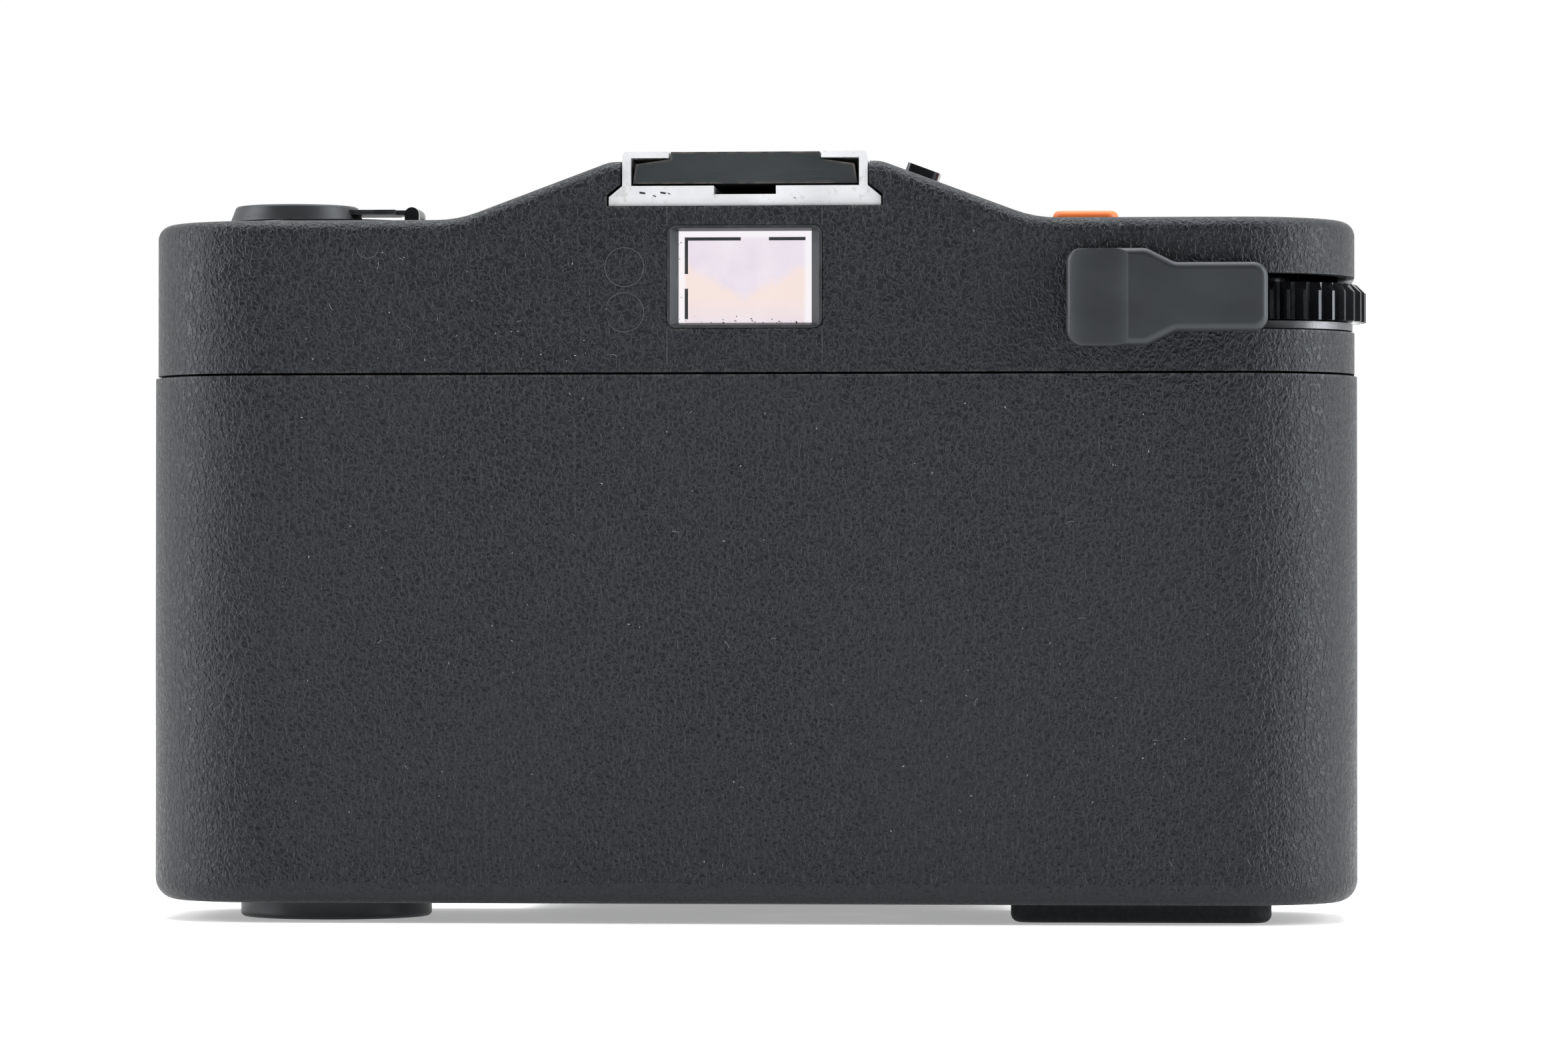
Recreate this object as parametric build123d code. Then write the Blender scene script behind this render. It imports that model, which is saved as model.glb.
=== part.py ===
from build123d import *

import math
import os

# Compact folding 35 mm viewfinder camera with a drop-down front door, millimetres.
# The frame: +X towards the rewind end, +Y towards the back, +Z up, feet on z = 0.
# At rest the door is open and the lens is drawn out. Depth means distance forward of the back wall.

# --- Body envelope ---
BODY_WIDTH = 100.0
BODY_DEPTH = 27.5
BASE_Z = 1.6
BASE_WALL = 1.5
SEAM_Z = 45.0
SEAM_GAP = 0.2
COVER_RISE = 12.7
HUMP_RISE = 4.7
HUMP_FOOT_X = 23.7
HUMP_CREST_X = 11.1
HUMP_FOOT_R = 10.0
HUMP_CREST_R = 3.0
REAR_CORNER_R = 10.0
FRONT_CORNER_R = 8.0
TOP_EDGE_R = 1.2
BASE_EDGE_R = 1.8
SHELL_WALL = 1.2
COVER_INSET = 0.2
COVER_WALL = 1.3
FRONT_PANEL_DEPTH = 7.0

# --- Clearances ---
CLEARANCE = 0.3
RUN = 0.05
FIT = 0.1
CUT = 1.0

# --- Front door ---
DOOR_WIDTH = 42.0
DOOR_LENGTH = 53.0
DOOR_THICKNESS = 3.2
DOOR_CORNER_R = 3.0
DOOR_HINGE_Z = 3.6
DOOR_LINER_THICKNESS = 0.6
DOOR_LINER_MARGIN = 2.2
DOOR_HOLLOW = 1.0
HINGE_PIN_R = 0.6
HINGE_LUG_WIDTH = 2.0
HINGE_LUG_INSET = 2.6
HINGE_LUG_NECK = 2.0
DOOR_EDGE_R = 0.9
DOOR_PIN_INSET = 0.4

# --- Film path ---
FILM_CENTRE_Z = 28.5
FILM_HEIGHT = 35.0
FRAME_WIDTH = 36.0
FRAME_HEIGHT = 24.0
FILM_DEPTH = 3.3
RAIL_HEIGHT = 0.5
RAIL_WIDTH = 1.2
GATE_THICKNESS = 3.7
CASSETTE_R = 12.5
CASSETTE_HEIGHT = 44.0
CASSETTE_GAP = 0.3
CHAMBER_TOP_WALL = 1.0
CHAMBER_WALL = 1.2
TAKEUP_CHAMBER_R = 8.8
TAKEUP_END_MARGIN = 11.4
REWIND_END_MARGIN = 14.6
CHAMBER_FLOOR_Z = 9.4
CHASSIS_TOP_Z = 47.6
CHAMBER_FLOOR = 2.0
TAKEUP_END_WALL = 1.2
CHAMBER_MOUTH_SETBACK = 3.0
FILM_CHANNEL_MARGIN = 4.0

# --- Lens and shutter ---
HOUSING_WIDTH = 29.6
HOUSING_HEIGHT = 28.6
HOUSING_CORNER_R = 2.5
HOUSING_LENGTH = 8.6
HOUSING_WALL = 1.6
HOUSING_INSIDE = 6.0
SHUTTER_WALL = 1.2
SHUTTER_CAVITY = 1.6
SHUTTER_CAVITY_R = 13.2
SHUTTER_APERTURE_R = 4.5
BLADE_THICKNESS = 0.3
BLADE_R = 6.0
BLADE_PIVOT_X = 4.0
BLADE_PIVOT_DROP = 11.0
BLADE_EYE_R = 1.4
BLADE_PIN_R = 0.6
BOARD_THICKNESS = 2.4
BARREL_R = 10.0
BARREL_BORE_R = 8.0
BARREL_LENGTH = 7.5
APERTURE_RING_R = 13.4
APERTURE_RING_LENGTH = 3.0
FOCUS_RING_R = 12.4
FOCUS_RING_LENGTH = 5.2
FOCUS_FRONT_WALL = 1.2
KNURL_COUNT = 40
KNURL_R = 0.35
FRONT_CELL_R = 7.6
FRONT_LENS_R = 6.6
REAR_LENS_R = 6.4
LENS_EDGE = 1.4
LENS_BULGE = 0.8
LENS_SEAT = 1.0
LENS_LIP = 0.4
CELL_BOWL_DEPTH = 0.5
CELL_REACH = 2.2
REAR_LENS_SETBACK = 2.0
REAR_HOLDER_LENGTH = 3.0
REAR_LENS_INSET = 0.2
BOARD_EDGE_R = 1.0
RING_CHAMFER = 0.4
KNURL_STOP = 0.7
BLADE_OVERLAP = 0.8
BLADE_LAYER_GAP = 0.12
BLADE_ARM_RISE = 9.0

# --- Finder ---
FINDER_Z = 52.9
EYEPIECE_WIDTH = 12.8
EYEPIECE_HEIGHT = 8.5
EYEPIECE_CORNER_R = 0.8
EYEPIECE_GLASS_WIDTH = 10.9
EYEPIECE_GLASS_HEIGHT = 7.5
EYEPIECE_BEVEL_DEPTH = 0.8
EYEPIECE_FRAME_DEPTH = 1.9
FINDER_WINDOW_WIDTH = 15.0
FINDER_WINDOW_HEIGHT = 8.6
WINDOW_GLASS = 1.0
TUNNEL_WALL = 0.5
TUNNEL_WINDOW_INSET = 1.0
EYEPIECE_BEVEL_EDGE = 0.25
OBJECTIVE_DEPTH = 20.0
OBJECTIVE_THICKNESS = 1.6
METER_X = 14.0
METER_R = 2.4
METER_CELL_LENGTH = 4.0

# --- Accessory shoe ---
SHOE_BASE_WIDTH = 22.3
SHOE_RAIL_WIDTH = 20.1
SHOE_SLOT_WIDTH = 18.7
SHOE_LIP_GAP = 12.5
SHOE_LIP_THICKNESS = 0.5
SHOE_BASE_DROP = 3.7
SHOE_BASE_THICKNESS = 1.65
SHOE_SLOT_HEIGHT = 2.3
SHOE_SHOULDER = 0.9
SHOE_CORNER_R = 0.4
SHOE_SETBACK = 0.5
SHOE_LENGTH = 19.4
SHOE_NOTCH_WIDTH = 5.1
SHOE_NOTCH_DEPTH = 0.7
SHOE_GAP = 0.15
SHOE_SEAT_WALL = 1.2
SHOE_COVER_PLATE = 1.6
SHOE_COVER_GAP = 0.15
SHOE_COVER_LIFT = 0.2
SHOE_COVER_LEAN = 0.25
SHOE_SCREW_R = 0.7
SHOE_SCREW_HEAD_R = 1.3
SHOE_SCREW_HEAD = 0.6
SHOE_SCREW_X = 6.5
SHOE_SCREW_END = 4.5

# --- Wind lever ---
LEVER_END_MARGIN = 7.8
LEVER_AXIS_DEPTH = 13.0
WHEEL_R = 8.6
WHEEL_TEETH = 38
WHEEL_TOOTH_DEPTH = 0.8
TOOTH_PROFILE = ((-0.40, 0), (-0.09, 1), (0.09, 1), (0.40, 0))
WHEEL_Z = 49.5
WHEEL_HEIGHT = 3.1
WHEEL_CHAMFER = 0.7
WASHER_R = 7.5
WASHER_HEIGHT = 0.6
WHEEL_HUB_RISE = 0.6
SLOT_HEADROOM = 0.5
SLOT_INNER_X = 7.7
SLOT_FRONT_REACH = 9.0
LEVER_THICKNESS = 2.0
LEVER_PROUD_GAP = 0.4
PADDLE_HEIGHT = 7.9
ARM_HEIGHT = 5.6
LEVER_REACH = 15.9
PADDLE_LENGTH = 6.5
TAPER_LENGTH = 2.3
LEVER_CORNER_R = 1.2
LEVER_RIM_R = 0.6
LEVER_ROOT = 0.4
SCOOP_R = 5.2
SCOOP_DEPTH = 0.6
SCOOP_FROM_TIP = 2.6
LEVER_WEB_INNER = 5.6
LEVER_WEB_X = 0.4
LEVER_WEB_WIDTH = 6.0
LEVER_WEB_OVERLAP = 0.5
LEVER_SHAFT_R = 2.0

# --- Wind train ---
SPOOL_CORE_R = 4.0
SPOOL_FLANGE_R = 8.2
SPOOL_FLANGE = 0.9
SPOOL_SHAFT_R = 1.6
SPROCKET_R = 4.5
SPROCKET_TEETH = 6
SPROCKET_TOOTH = 0.8
SPROCKET_SHAFT_R = 1.2
SPROCKET_WAIST = 22.0
SPROCKET_PEG_BASE_R = 0.8
SPROCKET_PEG_TIP_R = 0.5
PEG_ROOT = 0.2
SPROCKET_END_MARGIN = 27.2
JOURNAL = 1.0
SPOOL_SLIT = 1.4
SPOOL_SLIT_MARGIN = 4.0
PERFORATION_SPACING = 28.2
COUNTER_R = 5.9
COUNTER_THICKNESS = 0.7
COUNTER_PIN_R = 1.2
COUNTER_PIN_END = 0.6
COUNTER_WINDOW_R = 1.9
COUNTER_WINDOW_X = 4.3

# --- Rewind crank ---
REWIND_DISC_R = 8.0
REWIND_DISC_HEIGHT = 0.8
REWIND_WELL_DEPTH = 0.5
REWIND_SHAFT_R = 1.8
FORK_LENGTH = 4.5
FORK_SLOT = 1.2
FORK_SLOT_DEPTH = 2.6
CRANK_ARM_WIDTH = 4.6
CRANK_ARM_THICKNESS = 0.4
CRANK_PIVOT_X = 6.6
CRANK_PIN_R = 0.3
CRANK_BARREL_R = 0.6
CRANK_TONGUE = 2.2
CRANK_TONGUE_OVERLAP = 0.8
CRANK_POST_WIDTH = 0.9
CRANK_GRIP_X = 3.4
CRANK_GRIP_BASE_R = 5.6
CRANK_GRIP_TOP_R = 5.1
CRANK_GRIP_HEIGHT = 1.3
CRANK_GRIP_LIFT = 0.15
CRANK_GRIP_EDGE_R = 0.3

# --- Top controls ---
RELEASE_END_MARGIN = 22.4
RELEASE_DEPTH = 12.0
RELEASE_SIZE = 5.4
RELEASE_PROUD = 1.05
RELEASE_CORNER_R = 0.9
RELEASE_EDGE_R = 0.5
RELEASE_LENGTH = 4.6
RELEASE_FLANGE = 0.6
RELEASE_FLANGE_GAP = 0.02
RELEASE_SOCKET_R = 1.6
RELEASE_SOCKET_DEPTH = 3.4
TIMER_FROM_SHOE = 2.65
TIMER_DEPTH = 12.0
TIMER_WIDTH = 2.8
TIMER_LENGTH = 3.4
TIMER_PROUD = 1.1
TIMER_STEM = 1.2
TIMER_STEM_REACH = 1.2
TIMER_CORNER_R = 0.5
TIMER_TRAVEL = 3.0

# --- Base fittings ---
LOCK_R = 8.0
LOCK_SHAFT_R = 2.4
LOCK_CAM_R = 4.6
LOCK_CAM_HEIGHT = 1.0
KEY_R = 6.2
KEY_THICKNESS = 0.9
KEY_HINGE_OFFSET = 0.9
KEY_PIN_R = 0.3
KEY_PIN_END = 0.6
KEY_LIFT = 0.15
LOCK_EDGE_R = 0.4
PAD_WIDTH = 21.4
PAD_DEPTH = 18.0
PAD_END_MARGIN = 17.8
PAD_EDGE_R = 0.7
PAD_CORNER_R = 2.0
TRIPOD_R = 3.175
TRIPOD_BUSH_R = 5.2
TRIPOD_BUSH_LENGTH = 6.4
TRIPOD_BUSH_END = 1.0
TRIPOD_BUSH_SET_IN = 0.1
TRIPOD_END_MARGIN = 14.0
REWIND_BUTTON_END_MARGIN = 24.0
REWIND_BUTTON_R = 2.4
REWIND_BUTTON_SET_IN = 0.4
REWIND_BUTTON_FLANGE = 0.8
REWIND_BUTTON_PLAY = 0.02
ISO_X = -6.0
ISO_R = 7.0
ISO_HEIGHT = 1.2
ISO_SET_IN = 0.1
COIN_SLOT_WIDTH = 1.0
COIN_SLOT_DEPTH = 0.5
COIN_SLOT_END = 1.0

# --- Battery and electronics ---
BATTERY_END_MARGIN = 27.0
BATTERY_FLOOR = 2.0
BATTERY_TIP = 1.0
BATTERY_DEPTH = 19.7
BATTERY_R = 5.8
BATTERY_LENGTH = 20.2
BATTERY_GAP = 0.2
BATTERY_CAP_HEIGHT = 1.8
CAP_SLOT_LENGTH = 8.0
CAP_SLOT_WIDTH = 1.2
CAP_SLOT_DEPTH = 0.8
BOARD_X = 13.5
BOARD_SIZE = 9.0
BOARD_DEPTH = 18.0
BOARD_REAR_MARGIN = 4.0
BOARD_STOCK = 0.8
CHIP_COUNT = 3
CHIP_LENGTH = 3.2
CHIP_WIDTH = 2.6
CHIP_HEIGHT = 1.0
CHIP_SPACING = 5.0
CHIP_INSET_X = 2.3
CHIP_INSET_Y = 4.0
DECK_SCREW_R = 0.8
DECK_SCREW_HEAD_R = 1.5
DECK_SCREW_HEAD = 0.7
DECK_SCREW_LENGTH = 4.0
DRIVER_SLOT_WIDTH = 0.4
DRIVER_SLOT_DEPTH = 0.3
DECK_SCREW_FRONT_X = 9.5
DECK_SCREW_FRONT_MARGIN = 3.2
DECK_SCREW_REAR_X = 12.5
DECK_SCREW_REAR_MARGIN = 5.5

# --- Pressure plate ---
PLATE_WIDTH = 38.8
PLATE_HEIGHT = 30.0
PLATE_THICKNESS = 0.7
PLATE_GAP = 0.15
PLATE_TRAVEL = 0.5
PLATE_SPRING_LENGTH = 30.0
PLATE_SPRING_HEIGHT = 4.0
PLATE_SPRING_STOCK = 0.2
PLATE_SPRING_FOOT = 8.0
PLATE_SPRING_STEM = 1.0
PLATE_SPRING_PLAY = 0.05
PLATE_CORNER_R = 1.5

# --- Places worked out from the sizes above ---
DOOR_SETBACK = CLEARANCE + DOOR_THICKNESS / 2
LEVER_PROUD = LEVER_PROUD_GAP + LEVER_THICKNESS
BACK_Y = (BODY_DEPTH + DOOR_SETBACK + DOOR_LENGTH - LEVER_PROUD) / 2
FRONT_Y = BACK_Y - BODY_DEPTH
MID_Y = (BACK_Y + FRONT_Y) / 2
FLOOR_Z = BASE_Z + BASE_WALL
COVER_Z = SEAM_Z + SEAM_GAP / 2
SHELL_TOP_Z = SEAM_Z - SEAM_GAP / 2
SHOULDER_Z = SEAM_Z + COVER_RISE
HUMP_Z = SHOULDER_Z + HUMP_RISE
SLOPE = math.atan2(HUMP_RISE, HUMP_FOOT_X - HUMP_CREST_X)
SHOE_Z = HUMP_Z - SHOE_BASE_DROP
HINGE_Y = FRONT_Y - DOOR_SETBACK
CHAMBER_Y = MID_Y
REWIND_X = BODY_WIDTH / 2 - REWIND_END_MARGIN
TAKEUP_X = TAKEUP_END_MARGIN - BODY_WIDTH / 2
LEVER_X = LEVER_END_MARGIN - BODY_WIDTH / 2
LEVER_Y = BACK_Y - LEVER_AXIS_DEPTH
SPROCKET_X = SPROCKET_END_MARGIN - BODY_WIDTH / 2
RELEASE_X = RELEASE_END_MARGIN - BODY_WIDTH / 2
PAD_X = PAD_END_MARGIN - BODY_WIDTH / 2
TRIPOD_X = TRIPOD_END_MARGIN - BODY_WIDTH / 2
REWIND_BUTTON_X = REWIND_BUTTON_END_MARGIN - BODY_WIDTH / 2
BATTERY_X = BATTERY_END_MARGIN - BODY_WIDTH / 2
TIMER_X = -SHOE_BASE_WIDTH / 2 - TIMER_FROM_SHOE
WASHER_Z = WHEEL_Z - FIT - WASHER_HEIGHT
SLOT_Z = WASHER_Z - CLEARANCE
SLOT_TOP_Z = WHEEL_Z + WHEEL_HEIGHT + SLOT_HEADROOM
CHASSIS_INSET = COVER_INSET + COVER_WALL
CHASSIS_Z = FLOOR_Z + CLEARANCE
CASSETTE_TOP_Z = FILM_CENTRE_Z + CASSETTE_HEIGHT / 2
BAY_WIDTH = HOUSING_WIDTH + 2 * CLEARANCE
BAY_HEIGHT = HOUSING_HEIGHT + 2 * CLEARANCE
BAY_BACK_Y = BACK_Y - FILM_DEPTH - RAIL_HEIGHT - GATE_THICKNESS
HOUSING_BACK_Y = FRONT_Y + HOUSING_INSIDE
HOUSING_FRONT_Y = HOUSING_BACK_Y - HOUSING_LENGTH
BOARD_FRONT_Y = HOUSING_FRONT_Y - BOARD_THICKNESS
BATTERY_Y = BACK_Y - BATTERY_DEPTH
BATTERY_CAP_Z = CHASSIS_Z + BATTERY_FLOOR
BATTERY_Z = BATTERY_CAP_Z + BATTERY_CAP_HEIGHT + BATTERY_GAP
REWIND_DISC_Z = SHOULDER_Z - REWIND_WELL_DEPTH + FIT
CRANK_Z = REWIND_DISC_Z + REWIND_DISC_HEIGHT + CRANK_BARREL_R + FIT
LOCK_HINGE_Y = CHAMBER_Y - KEY_HINGE_OFFSET
KEY_PIN_Z = KEY_LIFT + KEY_THICKNESS / 2
PLATE_Y = BACK_Y - FILM_DEPTH + PLATE_GAP


def block(x_low, x_high, y_low, y_high, z_low, z_high):
    centre = Pos((x_low + x_high) / 2, (y_low + y_high) / 2, (z_low + z_high) / 2)
    return centre * Box(x_high - x_low, y_high - y_low, z_high - z_low)


def rod_x(y, z, x_low, x_high, radius):
    return Pos((x_low + x_high) / 2, y, z) * Rot(0, 90, 0) * Cylinder(radius, x_high - x_low)


def rod_y(x, z, y_low, y_high, radius):
    return Pos(x, (y_low + y_high) / 2, z) * Rot(90, 0, 0) * Cylinder(radius, y_high - y_low)


def rod_z(x, y, z_low, z_high, radius):
    return Pos(x, y, (z_low + z_high) / 2) * Cylinder(radius, z_high - z_low)


def prism_y(face, y_low, y_high):
    return extrude(Plane.XZ.offset(-y_high) * face, y_high - y_low)


def prism_z(face, z_low, z_high):
    return extrude(Pos(0, 0, z_low) * face, z_high - z_low)


def pad_y(x, z, width, height, y_low, y_high, radius):
    return prism_y(Pos(x, z) * RectangleRounded(width, height, radius), y_low, y_high)


def pad_z(x, y, width, depth, z_low, z_high, radius):
    return prism_z(Pos(x, y) * RectangleRounded(width, depth, radius), z_low, z_high)


def polygon(points):
    return make_face(Polyline(*points, close=True))


def body_prism(inset, z_low, z_high):
    """The body's plan, drawn in by inset all round, as an upright prism."""
    outline = Rectangle(BODY_WIDTH - 2 * inset, BODY_DEPTH - 2 * inset)
    outline = fillet(outline.vertices().group_by(Axis.Y)[0], FRONT_CORNER_R - inset)
    outline = fillet(outline.vertices().group_by(Axis.Y)[-1], REAR_CORNER_R - inset)
    return prism_z(Pos(0, MID_Y) * outline, z_low, z_high)


def one_solid(shape):
    """The shape as a plain solid, which is how each single piece is written."""
    return shape.solid()


# ---------------------------------------------------------------- shells and covers
def make_back_shell():
    outer = body_prism(0, BASE_Z, SHELL_TOP_Z)
    outer = fillet(outer.edges().group_by(Axis.Z)[0], BASE_EDGE_R)
    shell = outer - body_prism(SHELL_WALL, FLOOR_Z, SEAM_Z)
    shell -= block(-BODY_WIDTH, BODY_WIDTH, FRONT_Y - CUT, FRONT_Y + FRONT_PANEL_DEPTH, FLOOR_Z, SEAM_Z)
    shell -= rod_z(REWIND_X, CHAMBER_Y, 0, FLOOR_Z + CUT, LOCK_SHAFT_R + RUN)
    shell -= rod_z(TRIPOD_X, CHAMBER_Y, 0, FLOOR_Z + CUT, TRIPOD_BUSH_R)
    shell -= rod_z(REWIND_BUTTON_X, CHAMBER_Y, 0, FLOOR_Z + CUT, REWIND_BUTTON_R + FIT)
    shell -= rod_z(ISO_X, CHAMBER_Y, 0, FLOOR_Z + CUT, ISO_R + CLEARANCE)
    return one_solid(shell)


def make_front_panel():
    low = FLOOR_Z + SEAM_GAP
    panel = body_prism(0, low, SHELL_TOP_Z) - body_prism(SHELL_WALL, 0, SEAM_Z + CUT)
    rear = FRONT_Y + FRONT_PANEL_DEPTH - SEAM_GAP
    panel -= block(-BODY_WIDTH, BODY_WIDTH, rear, BACK_Y + CUT, 0, SEAM_Z + CUT)
    panel -= pad_y(0, FILM_CENTRE_Z, BAY_WIDTH, BAY_HEIGHT, FRONT_Y - CUT, rear, HOUSING_CORNER_R)
    for side in (-1, 1):
        near = side * (DOOR_WIDTH / 2 - HINGE_LUG_INSET)
        far = near - side * HINGE_LUG_WIDTH
        x_low, x_high = min(near, far), max(near, far)
        lug = rod_x(HINGE_Y, DOOR_HINGE_Z, x_low, x_high, DOOR_THICKNESS / 2)
        lug += block(x_low, x_high, HINGE_Y, FRONT_Y - FIT, DOOR_HINGE_Z - HINGE_LUG_NECK / 2,
                     DOOR_HINGE_Z + HINGE_LUG_NECK / 2)
        lug += block(x_low, x_high, HINGE_Y, FRONT_Y, FLOOR_Z + SEAM_GAP, DOOR_HINGE_Z + DOOR_THICKNESS / 2)
        lug -= rod_x(HINGE_Y, DOOR_HINGE_Z, x_low - CUT, x_high + CUT, HINGE_PIN_R)
        panel += lug
    return one_solid(panel)


def hump_face(drop):
    """The top cover's outline from behind, lowered by drop all along."""
    shift = drop * math.tan(SLOPE / 2)
    half = BODY_WIDTH / 2 + 1
    foot = HUMP_FOOT_X - shift
    crest = HUMP_CREST_X - shift
    low, shoulder, top = COVER_Z, SHOULDER_Z - drop, HUMP_Z - drop
    face = polygon([(-half, low), (half, low), (half, shoulder), (foot, shoulder),
                    (crest, top), (-crest, top), (-foot, shoulder), (-half, shoulder)])
    feet = [v for v in face.vertices() if abs(abs(v.X) - foot) < RUN]
    face = fillet(feet, HUMP_FOOT_R + drop)
    crests = [v for v in face.vertices() if abs(abs(v.X) - crest) < RUN]
    return fillet(crests, HUMP_CREST_R - drop)


def top_rim(solid):
    """The edges where the top cover's roof meets its walls, without the seams across the roof."""
    rim = []
    for edge in solid.edges():
        middle = edge.position_at(0.5)
        inside = abs(middle.Y - MID_Y) < BODY_DEPTH / 2 - FRONT_CORNER_R
        across = inside and abs(middle.X) < BODY_WIDTH / 2 - 2
        if edge.bounding_box().min.Z > SHOULDER_Z - 0.1 and not across:
            rim.append(edge)
    return rim


def make_top_cover():
    outer = body_prism(COVER_INSET, COVER_Z, HUMP_Z + CUT) & prism_y(hump_face(0), FRONT_Y, BACK_Y)
    outer = fillet(top_rim(outer), TOP_EDGE_R)
    seat_half = SHOE_BASE_WIDTH / 2 + SHOE_GAP
    seat_front = BACK_Y - SHOE_SETBACK - SHOE_LENGTH - SHOE_GAP
    hollow = body_prism(CHASSIS_INSET, 0, HUMP_Z) & prism_y(hump_face(COVER_WALL), FRONT_Y, BACK_Y)
    hollow -= block(-seat_half - SHOE_SEAT_WALL, seat_half + SHOE_SEAT_WALL, seat_front - SHOE_SEAT_WALL,
                    BACK_Y + CUT, SHOE_Z - SHOE_SEAT_WALL, HUMP_Z + CUT)
    cover = outer - hollow
    cover -= body_prism(CHASSIS_INSET, COVER_Z - CUT, COVER_Z + CUT)
    cover -= prism_y(shoe_outline(SHOE_GAP), seat_front, BACK_Y + CUT)
    cover -= pad_y(0, FINDER_Z, EYEPIECE_WIDTH, EYEPIECE_HEIGHT, BACK_Y - 2 * COVER_WALL, BACK_Y + CUT,
                   EYEPIECE_CORNER_R)
    cover -= pad_y(0, FINDER_Z, FINDER_WINDOW_WIDTH, FINDER_WINDOW_HEIGHT, FRONT_Y - CUT,
                   FRONT_Y + 2 * COVER_WALL, EYEPIECE_CORNER_R)
    cover -= rod_y(METER_X, FINDER_Z, FRONT_Y - CUT, FRONT_Y + 2 * COVER_WALL, METER_R)
    cover -= block(-BODY_WIDTH, LEVER_X + SLOT_INNER_X, LEVER_Y - SLOT_FRONT_REACH, BACK_Y + CUT,
                   SLOT_Z, SLOT_TOP_Z)
    cover -= rod_z(REWIND_X, CHAMBER_Y, SHOULDER_Z - REWIND_WELL_DEPTH, SHOULDER_Z + CUT,
                   REWIND_DISC_R + CLEARANCE)
    cover -= rod_z(REWIND_X, CHAMBER_Y, SHOULDER_Z - 2 * COVER_WALL, SHOULDER_Z, REWIND_SHAFT_R + RUN)
    release_hole = RELEASE_SIZE + 2 * FIT
    cover -= pad_z(RELEASE_X, BACK_Y - RELEASE_DEPTH, release_hole, release_hole,
                   SHOULDER_Z - 2 * COVER_WALL, SHOULDER_Z + CUT, RELEASE_CORNER_R + FIT)
    cover -= timer_slot()
    cover -= rod_z(LEVER_X + COUNTER_WINDOW_X, LEVER_Y, SHOULDER_Z - 2 * COVER_WALL, SHOULDER_Z + CUT,
                   COUNTER_WINDOW_R)
    roof = SHOULDER_Z - COVER_WALL
    cover += rod_z(LEVER_X, LEVER_Y, roof - COUNTER_THICKNESS - COUNTER_PIN_END, roof, COUNTER_PIN_R)
    return one_solid(cover)


def timer_place():
    """The plane of the sloping roof under the timer switch: x up the slope, y towards the back."""
    z = SHOULDER_Z + (HUMP_FOOT_X + TIMER_X) * math.tan(SLOPE)
    slope = math.degrees(SLOPE)
    return Pos(TIMER_X, BACK_Y - TIMER_DEPTH, z) * Rot(0, -slope, 0)


def timer_slot():
    length = TIMER_STEM + TIMER_TRAVEL + 2 * CLEARANCE
    return timer_place() * Pos(0, TIMER_TRAVEL / 2, 0) * Box(TIMER_STEM + 2 * FIT, length, 4 * COVER_WALL)


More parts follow.
